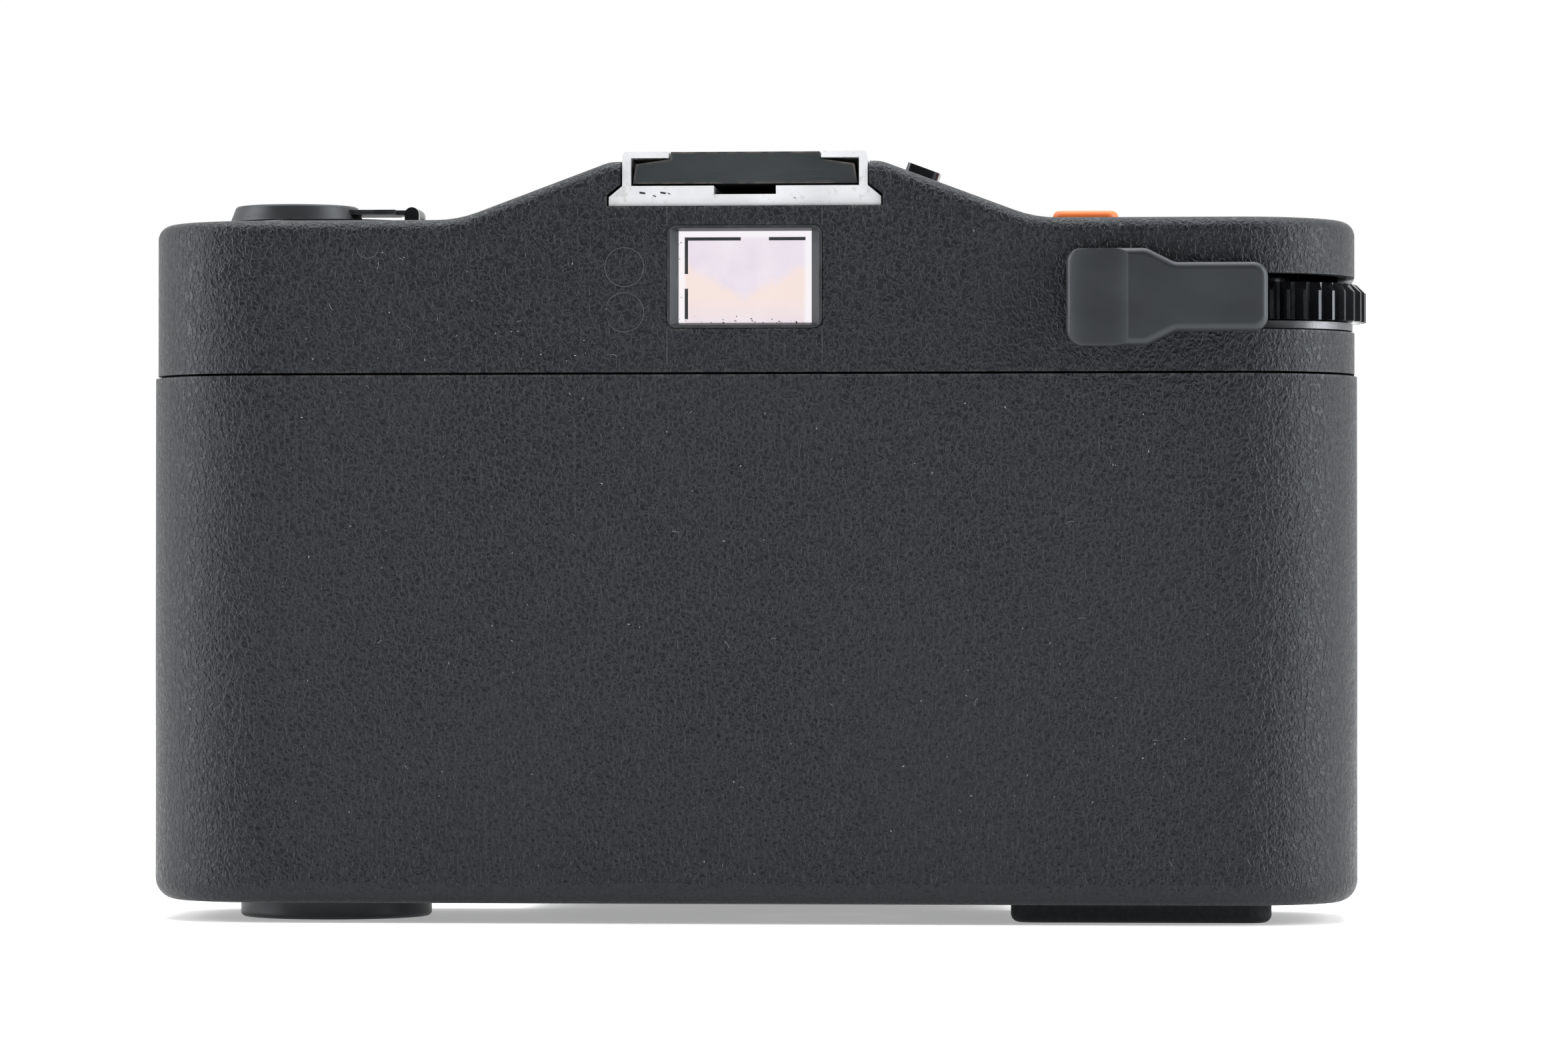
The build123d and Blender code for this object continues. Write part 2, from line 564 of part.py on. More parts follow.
# ---------------------------------------------------------------- chassis
def make_chassis():
    top = CASSETTE_TOP_Z + CASSETTE_GAP
    chamber_r = CASSETTE_R + CASSETTE_GAP
    rail_face = BACK_Y - FILM_DEPTH
    chassis = body_prism(CHASSIS_INSET, CHASSIS_Z, CHASSIS_TOP_Z)
    tower = rod_z(REWIND_X, CHAMBER_Y, CHASSIS_TOP_Z - CUT, top + CHAMBER_TOP_WALL,
                  chamber_r + CHAMBER_WALL)
    chassis += tower & body_prism(CHASSIS_INSET, COVER_Z, HUMP_Z)
    chassis -= block(-BODY_WIDTH, BODY_WIDTH, rail_face, BACK_Y + CUT, 0, HUMP_Z)
    end = BODY_WIDTH / 2
    chassis -= block(REWIND_X, end, FRONT_Y, BACK_Y, 0, top)
    chassis -= block(-end, TAKEUP_X - TAKEUP_CHAMBER_R + TAKEUP_END_WALL, FRONT_Y, BACK_Y, 0,
                     CHASSIS_TOP_Z - CHAMBER_TOP_WALL)
    chassis -= rod_z(REWIND_X, CHAMBER_Y, 0, top, chamber_r)
    chassis -= block(REWIND_X - chamber_r + CHAMBER_MOUTH_SETBACK, end, CHAMBER_Y, BACK_Y, 0, top)
    film_top = CHASSIS_TOP_Z - CHAMBER_TOP_WALL
    chassis -= rod_z(TAKEUP_X, CHAMBER_Y, CHAMBER_FLOOR_Z, film_top, TAKEUP_CHAMBER_R)
    chassis -= block(TAKEUP_X - TAKEUP_CHAMBER_R, TAKEUP_X + TAKEUP_CHAMBER_R, CHAMBER_Y, BACK_Y,
                     CHAMBER_FLOOR_Z, film_top)
    sprocket_y = rail_face - SPROCKET_R
    chassis -= rod_z(SPROCKET_X, sprocket_y, CHAMBER_FLOOR_Z, film_top,
                     SPROCKET_R + SPROCKET_TOOTH + CLEARANCE)
    chassis -= rod_z(SPROCKET_X, sprocket_y, CHAMBER_FLOOR_Z - CHAMBER_FLOOR, CHASSIS_TOP_Z + CUT,
                     SPROCKET_SHAFT_R + RUN)
    chassis -= rod_z(TAKEUP_X, CHAMBER_Y, CHAMBER_FLOOR_Z - CHAMBER_FLOOR, film_top + CHAMBER_TOP_WALL,
                     SPOOL_SHAFT_R + RUN)
    chassis -= block(-end, REWIND_BUTTON_X + REWIND_BUTTON_R + 2 * REWIND_BUTTON_FLANGE, FRONT_Y, BACK_Y, 0,
                     CHAMBER_FLOOR_Z - CHAMBER_FLOOR)
    chassis -= pad_y(0, FILM_CENTRE_Z, BAY_WIDTH, BAY_HEIGHT, FRONT_Y, BAY_BACK_Y, HOUSING_CORNER_R)
    chassis -= block(-FRAME_WIDTH / 2, FRAME_WIDTH / 2, BAY_BACK_Y - RUN, BACK_Y,
                     FILM_CENTRE_Z - FRAME_HEIGHT / 2, FILM_CENTRE_Z + FRAME_HEIGHT / 2)
    chassis -= film_channel(rail_face)
    chassis -= rod_z(BATTERY_X, BATTERY_Y, 0, BATTERY_Z + BATTERY_LENGTH + BATTERY_GAP,
                     BATTERY_R + BATTERY_GAP)
    chassis -= rod_z(REWIND_X, CHAMBER_Y, top - CUT, top + CHAMBER_TOP_WALL + CUT, REWIND_SHAFT_R + RUN)
    for x, y in deck_screw_places():
        chassis -= rod_z(x, y, CHASSIS_TOP_Z - DECK_SCREW_LENGTH, CHASSIS_TOP_Z + CUT, DECK_SCREW_R)
    chassis -= rod_z(ISO_X, CHAMBER_Y, 0, CHASSIS_Z + ISO_HEIGHT, ISO_R + CLEARANCE)
    return one_solid(chassis)


def film_channel(rail_face):
    """What is taken off the gate's face, which leaves the rails above and below the picture."""
    half = FRAME_WIDTH / 2 + FILM_CHANNEL_MARGIN
    channel = block(-half, half, rail_face - RAIL_HEIGHT, rail_face + CUT,
                    FILM_CENTRE_Z - FILM_HEIGHT / 2, FILM_CENTRE_Z + FILM_HEIGHT / 2)
    for side in (-1, 1):
        middle = FILM_CENTRE_Z + side * (FRAME_HEIGHT / 2 + RAIL_WIDTH)
        channel -= block(-half, half, rail_face - RAIL_HEIGHT, rail_face + CUT,
                         middle - RAIL_WIDTH / 2, middle + RAIL_WIDTH / 2)
    return channel


def deck_screw_places():
    front, rear = FRONT_Y + DECK_SCREW_FRONT_MARGIN, BACK_Y - DECK_SCREW_REAR_MARGIN
    return [(-DECK_SCREW_FRONT_X, front), (DECK_SCREW_FRONT_X, front),
            (-DECK_SCREW_REAR_X, rear), (DECK_SCREW_REAR_X, rear)]


def make_deck_screws():
    screws = []
    head_top = CHASSIS_TOP_Z + DECK_SCREW_HEAD
    for x, y in deck_screw_places():
        head = rod_z(x, y, CHASSIS_TOP_Z, head_top, DECK_SCREW_HEAD_R)
        head -= block(x - DECK_SCREW_HEAD_R, x + DECK_SCREW_HEAD_R, y - DRIVER_SLOT_WIDTH / 2,
                      y + DRIVER_SLOT_WIDTH / 2, head_top - DRIVER_SLOT_DEPTH, head_top + CUT)
        shank = rod_z(x, y, CHASSIS_TOP_Z - DECK_SCREW_LENGTH, CHASSIS_TOP_Z, DECK_SCREW_R)
        screws.append(one_solid(head + shank))
    return Compound(screws)


def make_battery():
    shoulder = BATTERY_Z + BATTERY_LENGTH - BATTERY_TIP
    cell = rod_z(BATTERY_X, BATTERY_Y, BATTERY_Z, shoulder, BATTERY_R)
    cell += rod_z(BATTERY_X, BATTERY_Y, shoulder, BATTERY_Z + BATTERY_LENGTH, BATTERY_R / 2)
    return one_solid(cell)


def make_battery_cap():
    low = BATTERY_CAP_Z
    cap = rod_z(BATTERY_X, BATTERY_Y, low, low + BATTERY_CAP_HEIGHT, BATTERY_R + BATTERY_GAP - RUN)
    cap -= block(BATTERY_X - CAP_SLOT_LENGTH / 2, BATTERY_X + CAP_SLOT_LENGTH / 2,
                 BATTERY_Y - CAP_SLOT_WIDTH / 2, BATTERY_Y + CAP_SLOT_WIDTH / 2,
                 low - CUT, low + CAP_SLOT_DEPTH)
    return one_solid(cap)


def make_circuit_board():
    z = CHASSIS_TOP_Z
    y_low = BACK_Y - BOARD_REAR_MARGIN - BOARD_DEPTH
    x_low = BOARD_X - BOARD_SIZE / 2
    board = block(x_low, x_low + BOARD_SIZE, y_low, y_low + BOARD_DEPTH, z, z + BOARD_STOCK)
    chip_z = z + BOARD_STOCK
    for chip in range(CHIP_COUNT):
        x = x_low + CHIP_INSET_X + chip
        y = y_low + CHIP_INSET_Y + CHIP_SPACING * chip
        board += block(x, x + CHIP_LENGTH, y, y + CHIP_WIDTH, chip_z, chip_z + CHIP_HEIGHT)
    for x, y in deck_screw_places():
        board -= rod_z(x, y, z - CUT, chip_z + CUT, DECK_SCREW_HEAD_R + FIT)
    return one_solid(board)


# ---------------------------------------------------------------- finder and meter
def make_eyepiece_frame():
    rear = BACK_Y - FIT
    front = BACK_Y - EYEPIECE_FRAME_DEPTH
    step = rear - EYEPIECE_BEVEL_DEPTH
    width, height = EYEPIECE_WIDTH - FIT, EYEPIECE_HEIGHT - FIT
    frame = pad_y(0, FINDER_Z, width, height, front, rear, EYEPIECE_CORNER_R - FIT / 2)
    half_width, half_height = EYEPIECE_GLASS_WIDTH / 2, EYEPIECE_GLASS_HEIGHT / 2
    frame -= block(-half_width, half_width, front - CUT, step, FINDER_Z - half_height, FINDER_Z + half_height)
    centre = Pos(0, FINDER_Z)
    small = Plane.XZ.offset(-step) * (centre * Rectangle(2 * half_width, 2 * half_height))
    rim = 2 * EYEPIECE_BEVEL_EDGE
    large = Plane.XZ.offset(-rear) * (centre * Rectangle(width - rim, height - rim))
    frame -= loft([small.face(), large.face()])
    return one_solid(frame)


def make_eyepiece_lens():
    step = BACK_Y - FIT - EYEPIECE_BEVEL_DEPTH
    return one_solid(block(-EYEPIECE_GLASS_WIDTH / 2, EYEPIECE_GLASS_WIDTH / 2,
                           BACK_Y - EYEPIECE_FRAME_DEPTH, step,
                           FINDER_Z - EYEPIECE_GLASS_HEIGHT / 2, FINDER_Z + EYEPIECE_GLASS_HEIGHT / 2))


def make_finder_window():
    face = FRONT_Y + COVER_INSET
    return one_solid(pad_y(0, FINDER_Z, FINDER_WINDOW_WIDTH, FINDER_WINDOW_HEIGHT, face + FIT,
                           face + FIT + WINDOW_GLASS, EYEPIECE_CORNER_R))


def make_finder_tunnel():
    front = FRONT_Y + COVER_INSET + COVER_WALL
    rear = BACK_Y - EYEPIECE_FRAME_DEPTH
    top = SHOE_Z - SHOE_SEAT_WALL
    low = CHASSIS_TOP_Z + DECK_SCREW_HEAD + FIT
    half_rear = EYEPIECE_WIDTH / 2
    half_front = FINDER_WINDOW_WIDTH / 2
    seat_front = BACK_Y - SHOE_SETBACK - SHOE_LENGTH - SHOE_GAP - SHOE_SEAT_WALL
    outer = polygon([(-half_rear, rear), (half_rear, rear), (half_front, seat_front),
                     (half_front, front), (-half_front, front), (-half_front, seat_front)])
    inner = offset(outer, -TUNNEL_WALL, kind=Kind.INTERSECTION)
    tunnel = prism_z(outer, low, top) - prism_z(inner, low + TUNNEL_WALL, top - TUNNEL_WALL)
    window_low = FINDER_Z - EYEPIECE_GLASS_HEIGHT / 2 + FIT
    window_high = top - TUNNEL_WALL
    tunnel -= block(-EYEPIECE_GLASS_WIDTH / 2, EYEPIECE_GLASS_WIDTH / 2, rear - 2 * TUNNEL_WALL, rear + CUT,
                    window_low, window_high)
    opening = half_front - TUNNEL_WINDOW_INSET
    tunnel -= block(-opening, opening, front - CUT, front + 2 * TUNNEL_WALL, window_low, window_high)
    return one_solid(tunnel)


def make_finder_objective():
    y = BACK_Y - OBJECTIVE_DEPTH
    low = CHASSIS_TOP_Z + DECK_SCREW_HEAD + FIT + TUNNEL_WALL
    high = SHOE_Z - SHOE_SEAT_WALL - TUNNEL_WALL
    half = EYEPIECE_WIDTH / 2 - TUNNEL_WALL
    return one_solid(block(-half, half, y - OBJECTIVE_THICKNESS, y, low, high))


def make_meter_window():
    face = FRONT_Y + COVER_INSET
    return one_solid(rod_y(METER_X, FINDER_Z, face + FIT, face + COVER_WALL, METER_R))


def make_meter_cell():
    rear = FRONT_Y + COVER_INSET + COVER_WALL
    return one_solid(rod_y(METER_X, FINDER_Z, rear, rear + METER_CELL_LENGTH, METER_R))


def make_counter_window():
    return one_solid(rod_z(LEVER_X + COUNTER_WINDOW_X, LEVER_Y, SHOULDER_Z - COVER_WALL + FIT,
                           SHOULDER_Z - FIT, COUNTER_WINDOW_R))


# ---------------------------------------------------------------- accessory shoe
def shoe_span():
    rear = BACK_Y - SHOE_SETBACK
    return rear - SHOE_LENGTH, rear


def shoe_levels():
    """Heights of the shoe's floor, the underside of its lips and its top."""
    floor = SHOE_Z + SHOE_BASE_THICKNESS
    lip = floor + SHOE_SLOT_HEIGHT
    return floor, lip, lip + SHOE_LIP_THICKNESS


def shoe_outline(grow):
    """The shoe's outer shape end on, grown sideways and carried up past the roof, as its seat is cut."""
    floor = shoe_levels()[0] + grow
    half_base, half_rail = SHOE_BASE_WIDTH / 2 + grow, SHOE_RAIL_WIDTH / 2 + grow
    return polygon([(-half_base, SHOE_Z), (half_base, SHOE_Z), (half_base, floor - SHOE_SHOULDER),
                    (half_rail, floor), (half_rail, HUMP_Z + CUT), (-half_rail, HUMP_Z + CUT),
                    (-half_rail, floor), (-half_base, floor - SHOE_SHOULDER)])


def shoe_screw_places():
    front, rear = shoe_span()
    return [(x, y) for x in (-SHOE_SCREW_X, SHOE_SCREW_X)
            for y in (front + SHOE_SCREW_END, rear - SHOE_SCREW_END)]


def make_accessory_shoe():
    half_base, half_rail = SHOE_BASE_WIDTH / 2, SHOE_RAIL_WIDTH / 2
    half_slot, half_gap = SHOE_SLOT_WIDTH / 2, SHOE_LIP_GAP / 2
    floor, lip, top = shoe_levels()
    right = [(half_base, SHOE_Z), (half_base, floor - SHOE_SHOULDER), (half_rail, floor), (half_rail, top),
             (half_gap, top), (half_gap, lip), (half_slot, lip), (half_slot, floor)]
    left = [(-x, z) for x, z in reversed(right)]
    face = polygon(right + left)
    corners = [v for v in face.vertices() if abs(v.Y - top) < FIT and abs(abs(v.X) - half_rail) < FIT]
    face = fillet(corners, SHOE_CORNER_R)
    front, rear = shoe_span()
    shoe = prism_y(face, front, rear)
    shoe -= block(-SHOE_NOTCH_WIDTH / 2, SHOE_NOTCH_WIDTH / 2, front - CUT, rear + CUT,
                  floor - SHOE_NOTCH_DEPTH, floor + SHOE_SLOT_HEIGHT / 2)
    for x, y in shoe_screw_places():
        shoe -= rod_z(x, y, SHOE_Z - CUT, floor + CUT, SHOE_SCREW_R)
        shoe -= rod_z(x, y, floor - SHOE_SCREW_HEAD, floor + CUT, SHOE_SCREW_HEAD_R)
    return one_solid(shoe)


def make_shoe_screws():
    floor = shoe_levels()[0]
    screws = []
    for x, y in shoe_screw_places():
        screw = rod_z(x, y, floor - SHOE_SCREW_HEAD, floor, SHOE_SCREW_HEAD_R)
        screw += rod_z(x, y, SHOE_Z, floor - SHOE_SCREW_HEAD, SHOE_SCREW_R)
        screws.append(one_solid(screw))
    return Compound(screws)


def make_shoe_cover():
    half_plate = SHOE_SLOT_WIDTH / 2 - SHOE_COVER_GAP
    half_ridge = SHOE_LIP_GAP / 2 - SHOE_COVER_GAP
    floor, lip, top = shoe_levels()
    low = floor + SHOE_COVER_LIFT
    right = [(half_plate, low), (half_plate - SHOE_COVER_LEAN, low + SHOE_COVER_PLATE),
             (half_ridge, lip - FIT), (half_ridge, top)]
    left = [(-x, z) for x, z in reversed(right)]
    front, rear = shoe_span()
    return one_solid(prism_y(polygon(right + left), front + CLEARANCE, rear - CLEARANCE))


# ---------------------------------------------------------------- wind lever, wheel and train
def tooth_outline(radius, count, depth):
    """A closed ring of narrow-topped teeth, each a share of its pitch wide at root and crest."""
    points = []
    pitch = 2 * math.pi / count
    for tooth in range(count):
        middle = tooth * pitch
        for share, reach in TOOTH_PROFILE:
            angle = middle + share * pitch
            reached = radius - depth * (1 - reach)
            points.append((reached * math.cos(angle), reached * math.sin(angle)))
    return polygon(points)


def make_wind_wheel():
    top = WHEEL_Z + WHEEL_HEIGHT
    blank = chamfer(Cylinder(WHEEL_R, WHEEL_HEIGHT).edges().group_by(Axis.Z)[-1], WHEEL_CHAMFER)
    teeth = prism_z(tooth_outline(WHEEL_R, WHEEL_TEETH, WHEEL_TOOTH_DEPTH), WHEEL_Z, top)
    wheel = Pos(LEVER_X, LEVER_Y, 0) * teeth
    wheel &= Pos(LEVER_X, LEVER_Y, WHEEL_Z + WHEEL_HEIGHT / 2) * blank
    wheel += rod_z(LEVER_X, LEVER_Y, CHASSIS_TOP_Z + FIT, top + WHEEL_HUB_RISE, LEVER_SHAFT_R)
    wheel -= lever_web(FIT / 2)
    return one_solid(wheel)


def make_lever_washer():
    washer = rod_z(LEVER_X, LEVER_Y, WASHER_Z, WASHER_Z + WASHER_HEIGHT, WASHER_R)
    washer -= rod_z(LEVER_X, LEVER_Y, WASHER_Z - CUT, WASHER_Z + WASHER_HEIGHT + CUT, LEVER_SHAFT_R)
    return one_solid(washer)


def lever_web(grow):
    """The flat strip inside the slot that joins the lever's outer arm to the wheel."""
    x_low = LEVER_X + LEVER_WEB_X
    return block(x_low - grow, x_low + LEVER_WEB_WIDTH + grow, LEVER_Y + LEVER_WEB_INNER - grow,
                 BACK_Y + LEVER_PROUD_GAP + LEVER_WEB_OVERLAP, WHEEL_Z - grow, WHEEL_Z + WHEEL_HEIGHT + grow)


def make_wind_lever():
    inner = BACK_Y + LEVER_PROUD_GAP
    outer = inner + LEVER_THICKNESS
    tip = LEVER_X + LEVER_REACH
    neck = tip - PADDLE_LENGTH
    arm = neck - TAPER_LENGTH
    root = LEVER_X - LEVER_ROOT
    middle = WHEEL_Z + WHEEL_HEIGHT / 2
    tall, short = PADDLE_HEIGHT / 2, ARM_HEIGHT / 2
    face = polygon([(root, middle - short), (arm, middle - short), (neck, middle - tall),
                    (tip, middle - tall), (tip, middle + tall), (neck, middle + tall),
                    (arm, middle + short), (root, middle + short)])
    face = fillet(face.vertices(), LEVER_CORNER_R)
    lever = prism_y(face, inner, outer)
    rim = [edge for edge in lever.edges() if abs(edge.center().Y - outer) < FIT]
    lever = fillet(rim, LEVER_RIM_R)
    scoop = Pos(tip - SCOOP_FROM_TIP, outer + SCOOP_R - SCOOP_DEPTH) * Circle(SCOOP_R)
    lever -= prism_z(scoop, 0, HUMP_Z)
    return one_solid(lever + lever_web(0))


def make_takeup_spool():
    low, high = film_shaft_span()
    spool = rod_z(TAKEUP_X, CHAMBER_Y, low, high, SPOOL_CORE_R)
    for z in (low, high - SPOOL_FLANGE):
        spool += rod_z(TAKEUP_X, CHAMBER_Y, z, z + SPOOL_FLANGE, SPOOL_FLANGE_R)
    spool -= block(TAKEUP_X - SPOOL_SLIT / 2, TAKEUP_X + SPOOL_SLIT / 2,
                   CHAMBER_Y, CHAMBER_Y + SPOOL_FLANGE_R, low + SPOOL_SLIT_MARGIN, high - SPOOL_SLIT_MARGIN)
    spool += rod_z(TAKEUP_X, CHAMBER_Y, low - JOURNAL, high + JOURNAL, SPOOL_SHAFT_R)
    return one_solid(spool)


def film_shaft_span():
    """Lower and upper end of the spool and the sprocket between their bearings."""
    return CHAMBER_FLOOR_Z + FIT, CHASSIS_TOP_Z - CHAMBER_TOP_WALL - FIT


def make_sprocket():
    y = BACK_Y - FILM_DEPTH - SPROCKET_R
    low, high = film_shaft_span()
    half_waist = SPROCKET_WAIST / 2
    wheel = rod_z(SPROCKET_X, y, low, high, SPROCKET_R)
    wheel -= rod_z(SPROCKET_X, y, FILM_CENTRE_Z - half_waist, FILM_CENTRE_Z + half_waist, SPROCKET_R + CUT)
    wheel += rod_z(SPROCKET_X, y, low - JOURNAL, high + JOURNAL, SPROCKET_SHAFT_R)
    peg = Rot(0, 90, 0) * Cone(SPROCKET_PEG_BASE_R, SPROCKET_PEG_TIP_R, SPROCKET_TOOTH + PEG_ROOT)
    reach = SPROCKET_R + (SPROCKET_TOOTH - PEG_ROOT) / 2
    for row in (-1, 1):
        z = FILM_CENTRE_Z + row * PERFORATION_SPACING / 2
        for tooth in range(SPROCKET_TEETH):
            turn = Rot(0, 0, 360 / SPROCKET_TEETH * (tooth + 0.5))
            wheel += Pos(SPROCKET_X, y, z) * turn * Pos(reach, 0, 0) * peg
    return one_solid(wheel)


def make_counter_dial():
    high = SHOULDER_Z - COVER_WALL - CLEARANCE
    dial = rod_z(LEVER_X, LEVER_Y, high - COUNTER_THICKNESS, high, COUNTER_R)
    dial -= rod_z(LEVER_X, LEVER_Y, high - COUNTER_THICKNESS - CUT, high + CUT, COUNTER_PIN_R + RUN)
    return one_solid(dial)


# ---------------------------------------------------------------- rewind crank
def make_rewind_spindle():
    top = REWIND_DISC_Z + REWIND_DISC_HEIGHT
    spindle = rod_z(REWIND_X, CHAMBER_Y, REWIND_DISC_Z, top, REWIND_DISC_R)
    fork_low = CASSETTE_TOP_Z + CASSETTE_GAP - FORK_LENGTH
    spindle += rod_z(REWIND_X, CHAMBER_Y, fork_low, REWIND_DISC_Z, REWIND_SHAFT_R)
    spindle -= block(REWIND_X - FORK_SLOT / 2, REWIND_X + FORK_SLOT / 2, CHAMBER_Y - 2 * REWIND_SHAFT_R,
                     CHAMBER_Y + 2 * REWIND_SHAFT_R, fork_low - CUT, fork_low + FORK_SLOT_DEPTH)
    half = CRANK_POST_WIDTH / 2
    x = REWIND_X - CRANK_PIVOT_X
    for side in (-1, 1):
        y = CHAMBER_Y + side * (CRANK_ARM_WIDTH / 2 - half)
        spindle += block(x - CRANK_BARREL_R, x + CRANK_BARREL_R, y - half, y + half, top - FIT, CRANK_Z)
        spindle += rod_y(x, CRANK_Z, y - half, y + half, CRANK_BARREL_R)
    reach = CRANK_ARM_WIDTH / 2 - FIT
    spindle += rod_y(x, CRANK_Z, CHAMBER_Y - reach, CHAMBER_Y + reach, CRANK_PIN_R)
    return one_solid(spindle)


def make_crank_arm():
    x = REWIND_X - CRANK_PIVOT_X
    half = CRANK_ARM_WIDTH / 2
    inner = half - CRANK_POST_WIDTH - FIT
    arm = rod_y(x, CRANK_Z, CHAMBER_Y - inner, CHAMBER_Y + inner, CRANK_BARREL_R)
    arm += block(x, x + CRANK_TONGUE, CHAMBER_Y - inner, CHAMBER_Y + inner,
                 CRANK_Z, CRANK_Z + CRANK_ARM_THICKNESS)
    arm += block(x + CRANK_TONGUE - CRANK_TONGUE_OVERLAP, REWIND_X + CRANK_GRIP_X, CHAMBER_Y - half,
                 CHAMBER_Y + half, CRANK_Z, CRANK_Z + CRANK_ARM_THICKNESS)
    arm -= rod_y(x, CRANK_Z, CHAMBER_Y - half, CHAMBER_Y + half, CRANK_PIN_R + RUN)
    arm -= crank_grip_blank()
    return one_solid(arm)


def crank_grip_blank():
    low = REWIND_DISC_Z + REWIND_DISC_HEIGHT + CRANK_GRIP_LIFT
    grip = Cone(CRANK_GRIP_BASE_R, CRANK_GRIP_TOP_R, CRANK_GRIP_HEIGHT)
    return Pos(REWIND_X + CRANK_GRIP_X, CHAMBER_Y, low + CRANK_GRIP_HEIGHT / 2) * grip


def make_crank_grip():
    grip = crank_grip_blank()
    top_edge = grip.edges().group_by(Axis.Z)[-1]
    return one_solid(fillet(top_edge, CRANK_GRIP_EDGE_R))


# ---------------------------------------------------------------- top controls
def make_shutter_button():
    y = BACK_Y - RELEASE_DEPTH
    top = SHOULDER_Z + RELEASE_PROUD
    low = top - RELEASE_LENGTH
    button = pad_z(RELEASE_X, y, RELEASE_SIZE, RELEASE_SIZE, low, top, RELEASE_CORNER_R)
    button = fillet(button.edges().group_by(Axis.Z)[-1], RELEASE_EDGE_R)
    flange_top = SHOULDER_Z - COVER_WALL - RELEASE_FLANGE_GAP
    flange = RELEASE_SIZE + 2 * RELEASE_FLANGE
    button += pad_z(RELEASE_X, y, flange, flange, low, flange_top, RELEASE_CORNER_R)
    button -= rod_z(RELEASE_X, y, top - RELEASE_SOCKET_DEPTH, top + CUT, RELEASE_SOCKET_R)
    return one_solid(button)


def make_timer_switch():
    place = timer_place()
    cap = Box(TIMER_WIDTH, TIMER_LENGTH, TIMER_PROUD - FIT)
    cap = fillet(cap.edges().filter_by(Axis.Z), TIMER_CORNER_R)
    switch = place * Pos(0, 0, (TIMER_PROUD + FIT) / 2) * cap
    depth = COVER_WALL + TIMER_STEM_REACH
    switch += place * Pos(0, 0, FIT - depth / 2) * Box(TIMER_STEM, TIMER_STEM, depth)
    return one_solid(switch)


# ---------------------------------------------------------------- front door
def door_outline(margin):
    length = DOOR_LENGTH - 2 * margin
    outline = Rectangle(DOOR_WIDTH - 2 * margin, length)
    outline = fillet(outline.vertices().group_by(Axis.Y)[0], DOOR_CORNER_R)
    return Pos(0, HINGE_Y - DOOR_LENGTH / 2) * outline


def make_front_door():
    low = DOOR_HINGE_Z - DOOR_THICKNESS / 2
    high = DOOR_HINGE_Z + DOOR_THICKNESS / 2
    door = prism_z(door_outline(0), low, high)
    rim = [e for e in door.edges().group_by(Axis.Z)[0] if e.center().Y < HINGE_Y - FIT]
    door = fillet(rim, DOOR_EDGE_R)
    half = DOOR_WIDTH / 2
    door += rod_x(HINGE_Y, DOOR_HINGE_Z, -half, half, DOOR_THICKNESS / 2)
    door -= prism_z(door_outline(DOOR_LINER_MARGIN), high - DOOR_HOLLOW - DOOR_LINER_THICKNESS, high + CUT)
    for side in (-1, 1):
        near = side * (half - HINGE_LUG_INSET + CLEARANCE)
        far = side * (half - HINGE_LUG_INSET - HINGE_LUG_WIDTH - CLEARANCE)
        door -= block(min(near, far), max(near, far), HINGE_Y - DOOR_THICKNESS / 2 - CLEARANCE,
                      FRONT_Y, low - CUT, high + CUT)
    door -= rod_x(HINGE_Y, DOOR_HINGE_Z, -half - CUT, half + CUT, HINGE_PIN_R + RUN)
    return one_solid(door)


def make_door_liner():
    high = DOOR_HINGE_Z + DOOR_THICKNESS / 2
    liner = prism_z(door_outline(DOOR_LINER_MARGIN), high - DOOR_LINER_THICKNESS - DOOR_HOLLOW,
                    high - DOOR_HOLLOW)
    return one_solid(liner)


def make_door_pin():
    half = DOOR_WIDTH / 2 - DOOR_PIN_INSET
    return one_solid(rod_x(HINGE_Y, DOOR_HINGE_Z, -half, half, HINGE_PIN_R))


# ---------------------------------------------------------------- lens carriage and shutter
def make_lens_housing():
    housing = pad_y(0, FILM_CENTRE_Z, HOUSING_WIDTH, HOUSING_HEIGHT, HOUSING_FRONT_Y, HOUSING_BACK_Y,
                    HOUSING_CORNER_R)
    wall_front = HOUSING_FRONT_Y + SHUTTER_CAVITY
    wall_back = wall_front + SHUTTER_WALL
    housing -= block(HOUSING_WALL - HOUSING_WIDTH / 2, HOUSING_WIDTH / 2 - HOUSING_WALL, wall_back,
                     HOUSING_BACK_Y + CUT, FILM_CENTRE_Z - HOUSING_HEIGHT / 2 + HOUSING_WALL,
                     FILM_CENTRE_Z + HOUSING_HEIGHT / 2 - HOUSING_WALL)
    housing -= rod_y(0, FILM_CENTRE_Z, HOUSING_FRONT_Y - CUT, wall_front, SHUTTER_CAVITY_R)
    housing -= rod_y(0, FILM_CENTRE_Z, wall_front - CUT, wall_back + CUT, SHUTTER_APERTURE_R)
    for side in (-1, 1):
        housing += blade_pin(side)
    return one_solid(housing)


def blade_pin(side):
    return rod_y(side * BLADE_PIVOT_X, FILM_CENTRE_Z - BLADE_PIVOT_DROP, HOUSING_FRONT_Y,
                 HOUSING_FRONT_Y + SHUTTER_CAVITY + FIT, BLADE_PIN_R)


